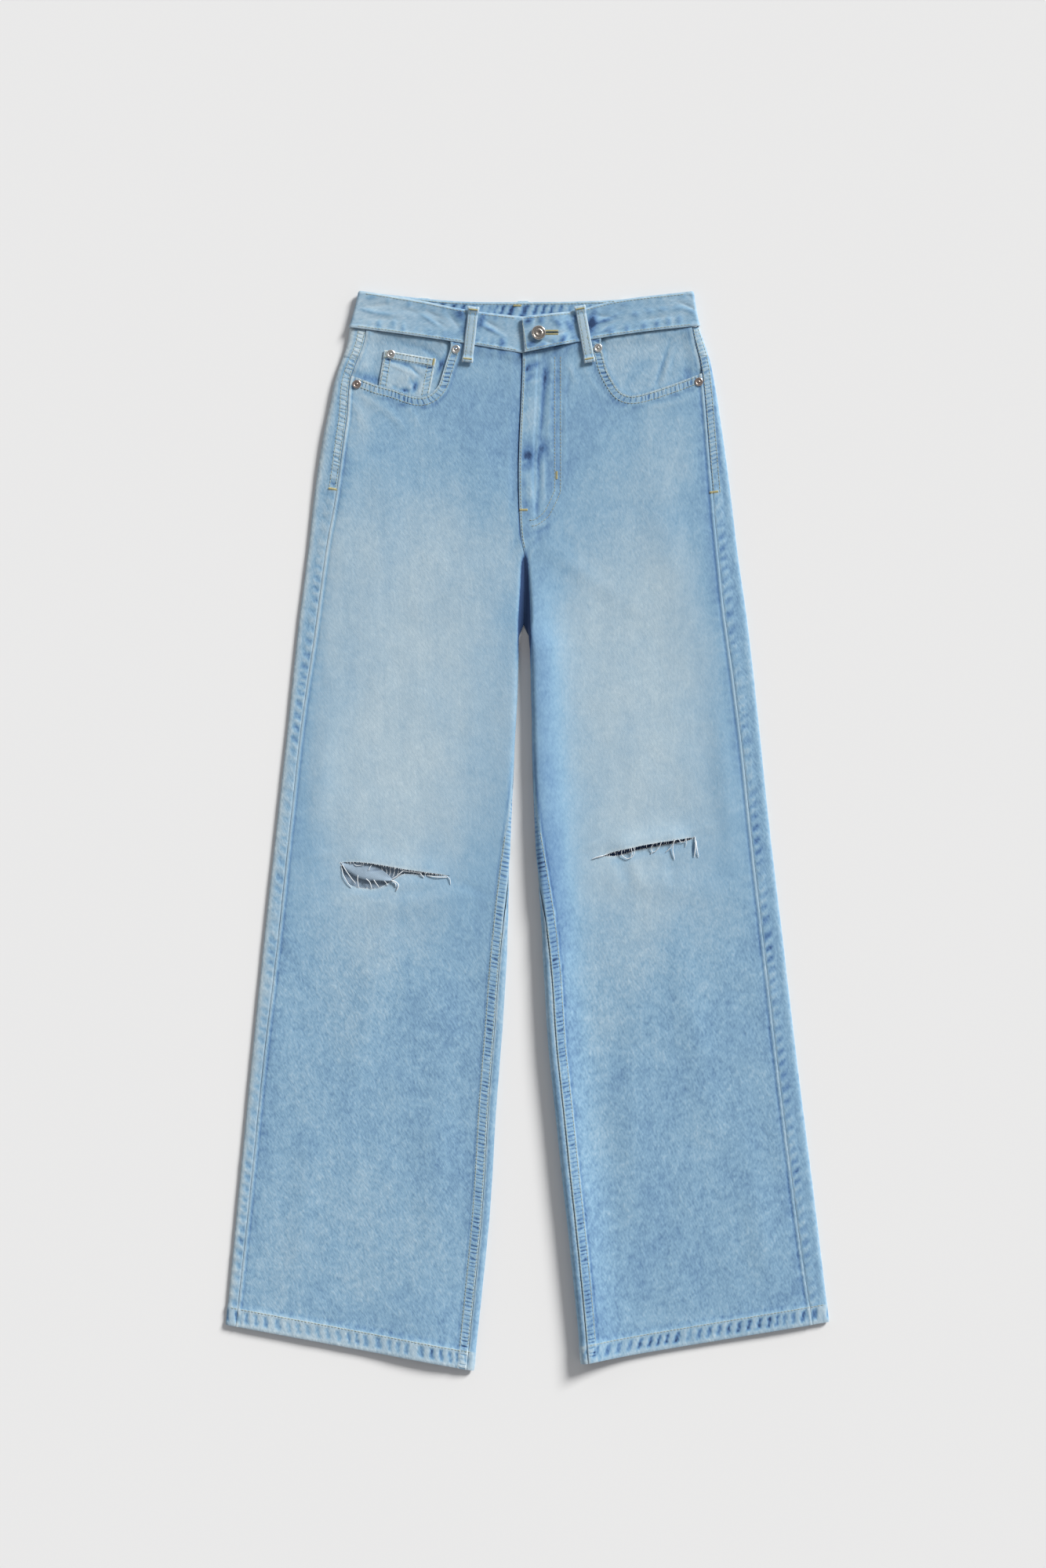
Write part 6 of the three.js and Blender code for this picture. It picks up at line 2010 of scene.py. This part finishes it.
def bar_tacks(context):
    """The bar tacks and the buttonhole's stitches."""
    sizes = context.scene.jeans_cloth
    radius = sizes.thread / MM
    work = ThreadWork()
    legs = Cloth(("front_denim", "back_denim", "yoke_denim"))
    for tack in SIDE_TACKS:
        work.tack(legs, *tack, radius)
    work.tack(legs, along(CENTRE_FRONT, FLY_FOOT) + 4.5, FLY_FOOT, 0, 9, 2.4, radius)
    work.tack(legs, *FLY_TACK, radius)
    coin = Cloth(("coin_pocket_denim",))
    work.tack(coin, *COIN_TACK, radius)
    cloth = Cloth(("waistband_denim", "belt_loop_denim"))
    for top, foot in LOOPS.values():
        from_below = top[2] < BAND_FRONT
        start, end = np.array(top[:2]), np.array(foot[:2])
        degrees = np.degrees(np.arctan2(end[1] - start[1], end[0] - start[0])) + 90
        for share in (0.055, 0.935):
            x, y = mix(start, end, share)
            work.tack(cloth, x, y, degrees, 8.4, 1.7, radius, from_below)
    inside = Cloth(("waistband_denim",))
    work.tack(inside, *WAIST_TACK, radius)

    # The buttonhole: close stitches out from the slit and round its eyelet.
    button_x, button_y, _ = keyhole()
    slit_y = button_y + 0.6
    for x in np.arange(button_x + 3.4, button_x + SLIT, 0.62):
        for side in (-1, 1):
            places = [(x, slit_y + side * reach) for reach in (1.0, 1.7, 2.5)]
            buttonhole_stitch(work, inside, places, radius)
    for turn in np.linspace(0.5, 2 * np.pi - 0.3, 26):
        across, up = np.cos(turn), np.sin(turn)
        places = [(button_x + reach * across, button_y + reach * up) for reach in (3.1, 3.9, 4.7)]
        buttonhole_stitch(work, inside, places, radius)
    material = thread_material("ochre thread", context.scene.jeans_colours.tack)
    return work.piece("bar_tacks_and_buttonhole", material)


# The folded flap in the wearer's right rip: its hidden upper edge and its free lower edge.
FLAP_WALL = 1.0
FLAP_UPPER = [(-195, -33.2), (-184, -32.6), (-170, -34.0), (-158, -37.6), (-150, -42.5), (-144, -48.0),
              (-141, -51.6)]
FLAP_LOWER = [(-195, -34.4), (-189.4, -41.4), (-179.6, -47.8), (-170, -51.2), (-160, -52.2), (-149, -52.8),
              (-140.6, -52.6)]

# Frayed yarns: places (x, y, height above the cloth), then the share of the full yarn's thickness.
YARNS = [
    ([(-177.4, -46, 0.4), (-177.8, -52, 1.4), (-176.6, -59, 0.5)], 1.3),
    ([(-169, -50, 0.3), (-165, -54, 1.4), (-163, -60.6, 0.5)], 1.3),
    ([(-161, -51, 0.3), (-158.4, -55, 1.3), (-155.4, -59, 0.4)], 1.2),
    ([(-150, -52, 0.3), (-147.8, -54.6, 0.9), (-145.8, -57, 0.3)], 1.0),
    ([(-143, -51.6, 0.3), (-138, -53.4, 1.3), (-135, -57, 1.2), (-137.3, -63, 0.4)], 1.7),
    ([(-142, -52.4, 0.3), (-138.4, -55, 1.3), (-137.6, -59, 0.5)], 1.3),
    ([(-194, -35, 0.5), (-189, -43, 1.4), (-184, -50, 1.2), (-179.6, -55.5, 0.4)], 1.2),
    ([(-195.4, -34.6, 0.4), (-192.6, -46, 1.1), (-188, -54.5, 0.9), (-184, -59.5, 0.4)], 1.0),
    ([(-128.4, -40.6, 0.3), (-133, -44.2, 1.5), (-137, -47.6, 1.2), (-142.4, -51, 0.5)], 1.4),
    ([(-131, -42.2, 0.4), (-121, -42.9, 1.0), (-110.5, -44.9, 0.4)], 1.2),
    ([(-113, -43.0, 0.4), (-111.4, -45.4, 1.2), (-108.4, -49, 0.3)], 1.3),
    ([(-105, -46.8, 0.3), (-95, -48.4, 0.9), (-83.6, -48.6, 0.3)], 1.2),
    ([(-84, -47.8, 0.3), (-81.2, -50.6, 0.8), (-80.4, -56.4, 0.2)], 1.0),
    ([(-153, -38.4, -1.0), (-151.6, -42.0, -0.8), (-151, -44.6, -0.6)], 0.9),
    ([(-148.4, -39.0, -1.0), (-147.4, -42.6, -0.8), (-147.6, -46.0, -0.6)], 0.9),
    ([(-143.8, -39.6, -0.9), (-143.6, -43.6, -0.8), (-145.0, -47.6, -0.6)], 0.9),
    ([(-139.0, -40.4, -0.8), (-139.6, -44.4, -0.6), (-141.2, -48.4, -0.4)], 0.9),
    ([(-134.6, -41.0, -0.6), (-135.6, -44.6, -0.4), (-137.2, -48.8, 0.2)], 0.9),
    ([(-181.6, -34.6, 0.3), (-178.6, -36.4, 0.6), (-172.4, -35.8, 0.3)], 0.9),
    ([(-163, -35.4, 0.2), (-165.2, -38.8, 0.5), (-166.4, -41.4, 0.3)], 0.9),
    ([(99, -19.2, 0.1), (98.4, -24.1, 1.7), (101, -27.6, 1.2), (105, -29.1, 1.1), (108.6, -27.2, 1.3),
      (109.2, -22.5, 1.9), (108.2, -17.1, 0.1)], 1.15),
    ([(110.6, -16.5, 0.1), (112, -21.8, 1.9), (111, -25.6, 1.2), (107.8, -28.8, 0.5)], 1.0),
    ([(133.4, -11.8, 0.1), (130.3, -15.6, 2.2), (129.6, -19.5, 1.3), (130.7, -22.5, 0.9),
      (128.8, -24.1, 0.4)], 1.2),
    ([(140.3, -10.5, 0.1), (138, -16.8, 2.0), (134.2, -21, 1.0), (131.1, -22.5, 0.4)], 1.1),
    ([(155, -8.3, 0.1), (150.3, -16.8, 1.8), (144.6, -22.5, 0.5)], 1.15),
    ([(153.6, -8.4, 0.1), (151.9, -19.5, 1.3), (154.2, -30.4, 0.4)], 1.25),
    ([(157.4, -8.0, 0.1), (160.4, -11.6, 1.2), (164.0, -11.4, 1.3), (166.0, -6.9, 0.1)], 0.95),
    ([(165.6, -7.0, 0.1), (166.4, -12, 0.9), (165.4, -17.2, 0.3)], 0.9),
    ([(175.2, -6, 0.3), (175.8, -16, 1.4), (174.6, -27.4, 0.5)], 1.6),
    ([(176.4, -10, 0.4), (177.4, -19, 1.2), (179, -27.8, 0.4)], 1.3),
    ([(79.4, -25.6, 0.4), (73, -27.4, 0.9), (67.2, -29.6, 0.3)], 1.3),
    ([(83, -24.4, 0.3), (77, -26.8, 0.6), (71.4, -28.6, 0.3)], 1.0),
]


def rip_flap(context):
    """The folded strip of torn cloth in the wearer's right rip."""
    upper, lower = smooth_line(FLAP_UPPER, 60), smooth_line(FLAP_LOWER, 60)
    t = np.linspace(0, 1, 15)[:, None, None]
    plan = mix(upper[None], lower[None], t)
    x, y = plan[..., 0], plan[..., 1]
    t = t[..., 0]
    level = mix(2.9, 4.6, soft(0.0, 0.85, t)) + 0.35 * lumps(x, y, 11, 70) - 0.8 * bell(t - 1.05, 0.12)
    crease = oblong(x, y, (-159, -41.6, 8, 6, 1.2))
    level = level - 0.6 * crease
    middle = np.stack([x, y, level], axis=-1)
    # The flap's wrong side is painted darker in its crease and along its tucked upper edge: painted shade.
    looks = {
        "wash": 0.80 + 0.05 * lumps(x, y, 9, 71), "cloth": grain(x, y, 5.1), "ladder": 0.0,
        "seam": seam_place(x, y), "mottle": 0.4, "depth": 0.02 + 0.30 * crease + 0.10 * bell(t, 0.3),
    }
    return cloth_shell("rip_flap_denim", middle, FLAP_WALL, -1, looks, [denim_wrong_side(context)])


def frayed_yarns(context):
    """Long white yarns at listed places, and short fuzz along both lips of each rip."""
    sizes = context.scene.jeans_cloth
    radius = sizes.yarn / MM
    cloth = Cloth(("front_denim", "rip_flap_denim", "back_denim"))
    front = Cloth(("front_denim",))
    work = ThreadWork()

    def level(x, y):
        touch = cloth.touch(x, y)
        return touch[0][2] if touch else SHIN_TOP

    for course, thickness in YARNS:
        line = smooth_line(course, 6 * (len(course) - 1))
        ground = np.interp(np.linspace(0, 1, len(line)), np.linspace(0, 1, len(course)),
                           [max(level(x, y), SHIN_TOP - 0.4) for x, y, _ in course])
        line[:, 2] = ground + line[:, 2] + radius
        taper = np.concatenate([[0.5], np.full(len(line) - 3, 1.0), [0.75, 0.35]])
        work.strand(line, radius * thickness * taper)

    rng = np.random.default_rng(41)
    for leg in (RIGHT, LEFT):
        for lip, away, spacing in ((leg.rip_upper, -1, 0.8), (leg.rip_lower, 1, 0.8)):
            for x, y in resampled(smooth_line(lip, 60), spacing):
                x += rng.uniform(-0.3, 0.3)
                root = front.touch(x, y - away * 0.8)
                if root is None:
                    continue
                reach = rng.uniform(0.7, 2.4) * (1.0 if rng.random() > 0.12 else 2.0)
                lean = rng.uniform(-1.0, 1.0)
                start = root[0] - np.array([0, 0, 0.25])
                end = start + np.array([lean, away * reach, rng.uniform(-0.5, 0.35)])
                bend = (start + end) / 2 + np.array([lean * 0.4, 0, 0.25])
                work.strand([start, bend, end], radius * 0.55 * np.array([1, 0.9, 0.4]))
    material = thread_material("frayed weft", context.scene.jeans_colours.weft)
    return work.piece("frayed_yarns", material)


# ---------------------------------------------------------------------------------------------------------
# Metal.
# ---------------------------------------------------------------------------------------------------------

def turned_piece(name, profile, x, y, turns, material, dimple=None):
    """A turned metal piece from (radius, height, hollow) steps. hollow is how much tarnish it keeps."""
    steps = np.array(profile, dtype=float)
    angle = np.linspace(0, 2 * np.pi, turns, endpoint=False)
    ring_x = steps[:, 0, None] * np.cos(angle)
    ring_y = steps[:, 0, None] * np.sin(angle)
    ring_z = np.repeat(steps[:, 1, None], turns, axis=1)
    if dimple is not None:
        ring_z = ring_z + dimple(steps[:, 0, None], angle)
    points = np.stack([x + ring_x, y + ring_y, ring_z], axis=-1).reshape(-1, 3)
    number = np.arange(len(steps) * turns).reshape(len(steps), turns)
    following = np.roll(number, -1, axis=1)
    faces = np.stack([number[:-1], following[:-1], following[1:], number[1:]], axis=-1).reshape(-1,
                                                                                                4).tolist()
    faces += [number[0][::-1].tolist(), number[-1].tolist()]
    mesh = mesh_of(name, points, faces, 40)
    paint(mesh, "hollow", np.repeat(steps[:, 2], turns))
    return put(name, mesh, [material])


def rounded(profile, pieces=3):
    """A turning profile with its straight runs subdivided, so that it shades evenly."""
    steps = np.array(profile, dtype=float)
    out = [steps[0]]
    for start, end in zip(steps[:-1], steps[1:]):
        out += [mix(start, end, (k + 1) / pieces) for k in range(pieces)]
    return np.array(out)


def button_piece(context):
    """A shank button: a raised rim round a dished face with a hammered ring and a dark dimple."""
    x, y, low, high = centre_of("button")
    profile = [
        (0.4, low, 0.2), (2.1, low, 0.2), (2.1, low + 3.3, 0.4), (6.6, low + 3.4, 0.5),
        (7.35, low + 3.7, 0.2),
        (7.6, low + 4.4, 0.0), (7.6, low + 5.3, 0.0), (7.3, low + 5.95, 0.0), (6.8, high - 0.12, 0.0),
        (6.2, high, 0.0), (5.6, high - 0.12, 0.05), (5.2, high - 0.55, 0.7), (4.9, high - 0.95, 0.95),
        (4.4, high - 0.90, 0.5), (3.6, high - 0.55, 0.1), (2.9, high - 0.42, 0.05), (2.3, high - 0.55, 0.4),
        (1.9, high - 1.00, 1.0), (1.2, high - 1.30, 1.0), (0.3, high - 1.35, 1.0),
    ]

    def hammered(radius, angle):
        on_ring = bell(radius - 3.9, 0.9)
        return 0.10 * on_ring * np.sin(angle * 18)

    metal = worn_metal("antique nickel", context.scene.jeans_metal.antique, 420, 0.85)
    piece = turned_piece("shank_button", rounded(profile), x, y, 72, metal, hammered)
    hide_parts("button")
    return piece


RIVET_NODES = {
    "rivet_coin_pocket": "rivet_silver", "rivet_pocket_right_top": "rivet_silver",
    "rivet_pocket_left_top": "rivet_silver", "rivet_pocket_right_side": "rivet_copper",
    "rivet_pocket_left_side": "rivet_copper",
}


def rivet_piece(context, node, slot):
    """A burr rivet: a domed ring with a dark hollow round its nipple."""
    x, y, low, high = centre_of(node)
    profile = [
        (0.3, low - 0.3, 0.3), (4.5, low - 0.3, 0.3), (4.6, low + 0.4, 0.2), (4.4, low + 0.85, 0.0),
        (3.9, low + 1.16, 0.0), (3.2, low + 1.22, 0.0), (2.7, low + 1.05, 0.2), (2.3, low + 0.62, 0.9),
        (1.9, low + 0.55, 1.0), (1.5, low + 0.60, 1.0), (1.15, low + 0.95, 0.6), (0.95, low + 1.40, 0.2),
        (0.6, high - 0.04, 0.1), (0.15, high, 0.1),
    ]
    metals = context.scene.jeans_metal
    if slot == "rivet_silver":
        metal = worn_metal("worn nickel", metals.nickel, 500, 0.9)
    else:
        metal = worn_metal("worn copper", metals.copper, 500, 0.8)
    piece = turned_piece(node + "_cap", rounded(profile), x, y, 40, metal)
    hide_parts(node)
    return piece


# ---------------------------------------------------------------------------------------------------------
# Operators, one for each piece or group of like pieces and one for the stage.
# ---------------------------------------------------------------------------------------------------------

SUN_STRENGTH = 5.0
SUN_WIDTH = 0.30
HORIZON_FILL = (0.700, 0.710, 0.730)
ZENITH_FILL = (0.160, 0.161, 0.166)
FLOOR_REACH = 12.0
FLOOR_DROP = 0.0002
CAMERA_ASIDE = (-0.0047, 0.0486)


class JEANS_OT_stage(bpy.types.Operator):
    """Lays out the pale floor, the soft light and the camera"""
    bl_idname = "jeans.stage"
    bl_label = "Stage"

    def execute(self, context):
        stage = context.scene.jeans_stage
        low, high = CAD_BOX
        middle = [(low[k] + high[k]) / 2 for k in range(3)]
        camera_data = bpy.data.cameras.new("camera")
        camera_data.sensor_width = 36
        camera_data.lens = camera_data.sensor_width * (stage.camera_height - high[2] / 2) / stage.view_height
        camera = bpy.data.objects.new("camera", camera_data)
        aside, up = CAMERA_ASIDE
        camera.location = (middle[0] + aside, middle[1] + up, stage.camera_height)
        context.scene.collection.objects.link(camera)
        context.scene.camera = camera

        reach = FLOOR_REACH
        mesh = bpy.data.meshes.new("floor")
        corners = [(-reach, -reach, 0), (reach, -reach, 0), (reach, reach, 0), (-reach, reach, 0)]
        mesh.from_pydata(corners, [], [(0, 1, 2, 3)])
        mesh.materials.append(floor_material())
        floor = bpy.data.objects.new("floor", mesh)
        floor.location.z = low[2] - FLOOR_DROP
        context.scene.collection.objects.link(floor)

        sun_data = bpy.data.lights.new("window light", "SUN")
        sun_data.energy = SUN_STRENGTH
        sun_data.angle = SUN_WIDTH
        sun_data.color = (1.0, 0.99, 0.972)
        sun = bpy.data.objects.new("window light", sun_data)
        sun.rotation_euler = (0, np.pi / 2 - stage.light_elevation, stage.light_bearing)
        context.scene.collection.objects.link(sun)

        world = bpy.data.worlds.new("studio")
        world.use_nodes = True
        tree = Tree(world.node_tree)
        background = world.node_tree.nodes["Background"]
        seen = tree.node("ShaderNodeLightPath").outputs["Is Camera Ray"]
        place = tree.place("Generated")
        elevation = tree.node("ShaderNodeSeparateXYZ", {0: place}).outputs[2]
        fill = tree.blend(elevation, HORIZON_FILL, ZENITH_FILL)
        shade = tree.blend(seen, fill, (0.806, 0.806, 0.806))
        tree.feed(shade, background.inputs["Color"])
        context.scene.world = world
        context.scene.view_settings.view_transform = "Standard"
        return {"FINISHED"}


class JEANS_OT_fronts(bpy.types.Operator):
    """Makes the two front panels, torn across the knees"""
    bl_idname = "jeans.fronts"
    bl_label = "Fronts"

    def execute(self, context):
        for leg in (RIGHT, LEFT):
            piece = front_panel(context, leg)
        return {"FINISHED"}


class JEANS_OT_backs(bpy.types.Operator):
    """Makes the two back panels, wrapped round the outer folds to the side seams"""
    bl_idname = "jeans.backs"
    bl_label = "Backs"

    def execute(self, context):
        for leg in (RIGHT, LEFT):
            piece = back_panel(context, leg)
            yoke = yoke_panel(context, leg)
        return {"FINISHED"}


class JEANS_OT_pockets(bpy.types.Operator):
    """Makes the pocket facings, the coin pocket and the back pockets"""
    bl_idname = "jeans.pockets"
    bl_label = "Pockets"

    def execute(self, context):
        for leg in (RIGHT, LEFT):
            facing = pocket_facing(context, leg)
            pocket = back_pocket(context, leg)
        coin = coin_pocket(context)
        return {"FINISHED"}


class JEANS_OT_fly(bpy.types.Operator):
    """Makes the hidden fly shield and zip"""
    bl_idname = "jeans.fly"
    bl_label = "Fly"

    def execute(self, context):
        shield = fly_shield(context)
        tape = zip_closure(context)
        return {"FINISHED"}


class JEANS_OT_waistband(bpy.types.Operator):
    """Makes the waistband with its keyhole buttonhole"""
    bl_idname = "jeans.waistband"
    bl_label = "Waistband"

    def execute(self, context):
        piece = waistband(context)
        return {"FINISHED"}


class JEANS_OT_belt_loops(bpy.types.Operator):
    """Makes the five belt loops"""
    bl_idname = "jeans.belt_loops"
    bl_label = "Belt loops"

    def execute(self, context):
        for seed, (name, (top, foot)) in enumerate(LOOPS.items()):
            piece = belt_loop(context, name, top, foot, seed + 200)
        return {"FINISHED"}


class JEANS_OT_rips(bpy.types.Operator):
    """Makes the folded flap and the frayed yarns of the knee rips"""
    bl_idname = "jeans.rips"
    bl_label = "Rips"

    def execute(self, context):
        flap = rip_flap(context)
        frayed_yarns(context)
        return {"FINISHED"}


class JEANS_OT_stitching(bpy.types.Operator):
    """Sews the topstitching, the bar tacks and the buttonhole"""
    bl_idname = "jeans.stitching"
    bl_label = "Stitching"

    def execute(self, context):
        topstitching(context)
        bar_tacks(context)
        return {"FINISHED"}


class JEANS_OT_button(bpy.types.Operator):
    """Makes the shank button"""
    bl_idname = "jeans.button"
    bl_label = "Button"

    def execute(self, context):
        button_piece(context)
        return {"FINISHED"}


class JEANS_OT_rivets(bpy.types.Operator):
    """Makes the five pocket rivets"""
    bl_idname = "jeans.rivets"
    bl_label = "Rivets"

    def execute(self, context):
        for node, slot in RIVET_NODES.items():
            rivet_piece(context, node, slot)
        return {"FINISHED"}


OPERATORS = (
    JEANS_OT_stage, JEANS_OT_fronts, JEANS_OT_backs, JEANS_OT_pockets, JEANS_OT_fly, JEANS_OT_waistband,
    JEANS_OT_belt_loops, JEANS_OT_rips, JEANS_OT_stitching, JEANS_OT_button, JEANS_OT_rivets,
)
SETTINGS = {"jeans_cloth": JeansCloth, "jeans_colours": JeansColours, "jeans_metal": JeansMetal,
            "jeans_stage": JeansStage}


class JEANS_PT_panel(bpy.types.Panel):
    """Settings and steps for building the jeans"""
    bl_label = "Ripped Jeans"
    bl_idname = "JEANS_PT_panel"
    bl_space_type = "VIEW_3D"
    bl_region_type = "UI"
    bl_category = "Jeans"

    def draw(self, context):
        for name, kind in SETTINGS.items():
            box = self.layout.box()
            for field in kind.__annotations__:
                box.prop(getattr(context.scene, name), field)
        for operator in OPERATORS:
            self.layout.operator(operator.bl_idname)


def register():
    for kind in (*SETTINGS.values(), *OPERATORS, JEANS_PT_panel):
        bpy.utils.register_class(kind)
    for name, kind in SETTINGS.items():
        setattr(bpy.types.Scene, name, bpy.props.PointerProperty(type=kind))


def unregister():
    for name in SETTINGS:
        delattr(bpy.types.Scene, name)
    for kind in (JEANS_PT_panel, *reversed(OPERATORS), *reversed(SETTINGS.values())):
        bpy.utils.unregister_class(kind)


def main():
    """Registers the add-on, then makes the stage and every piece."""
    register()
    for operator in OPERATORS:
        group, name = operator.bl_idname.split(".")
        getattr(getattr(bpy.ops, group), name)()


if __name__ == "__main__":
    main()
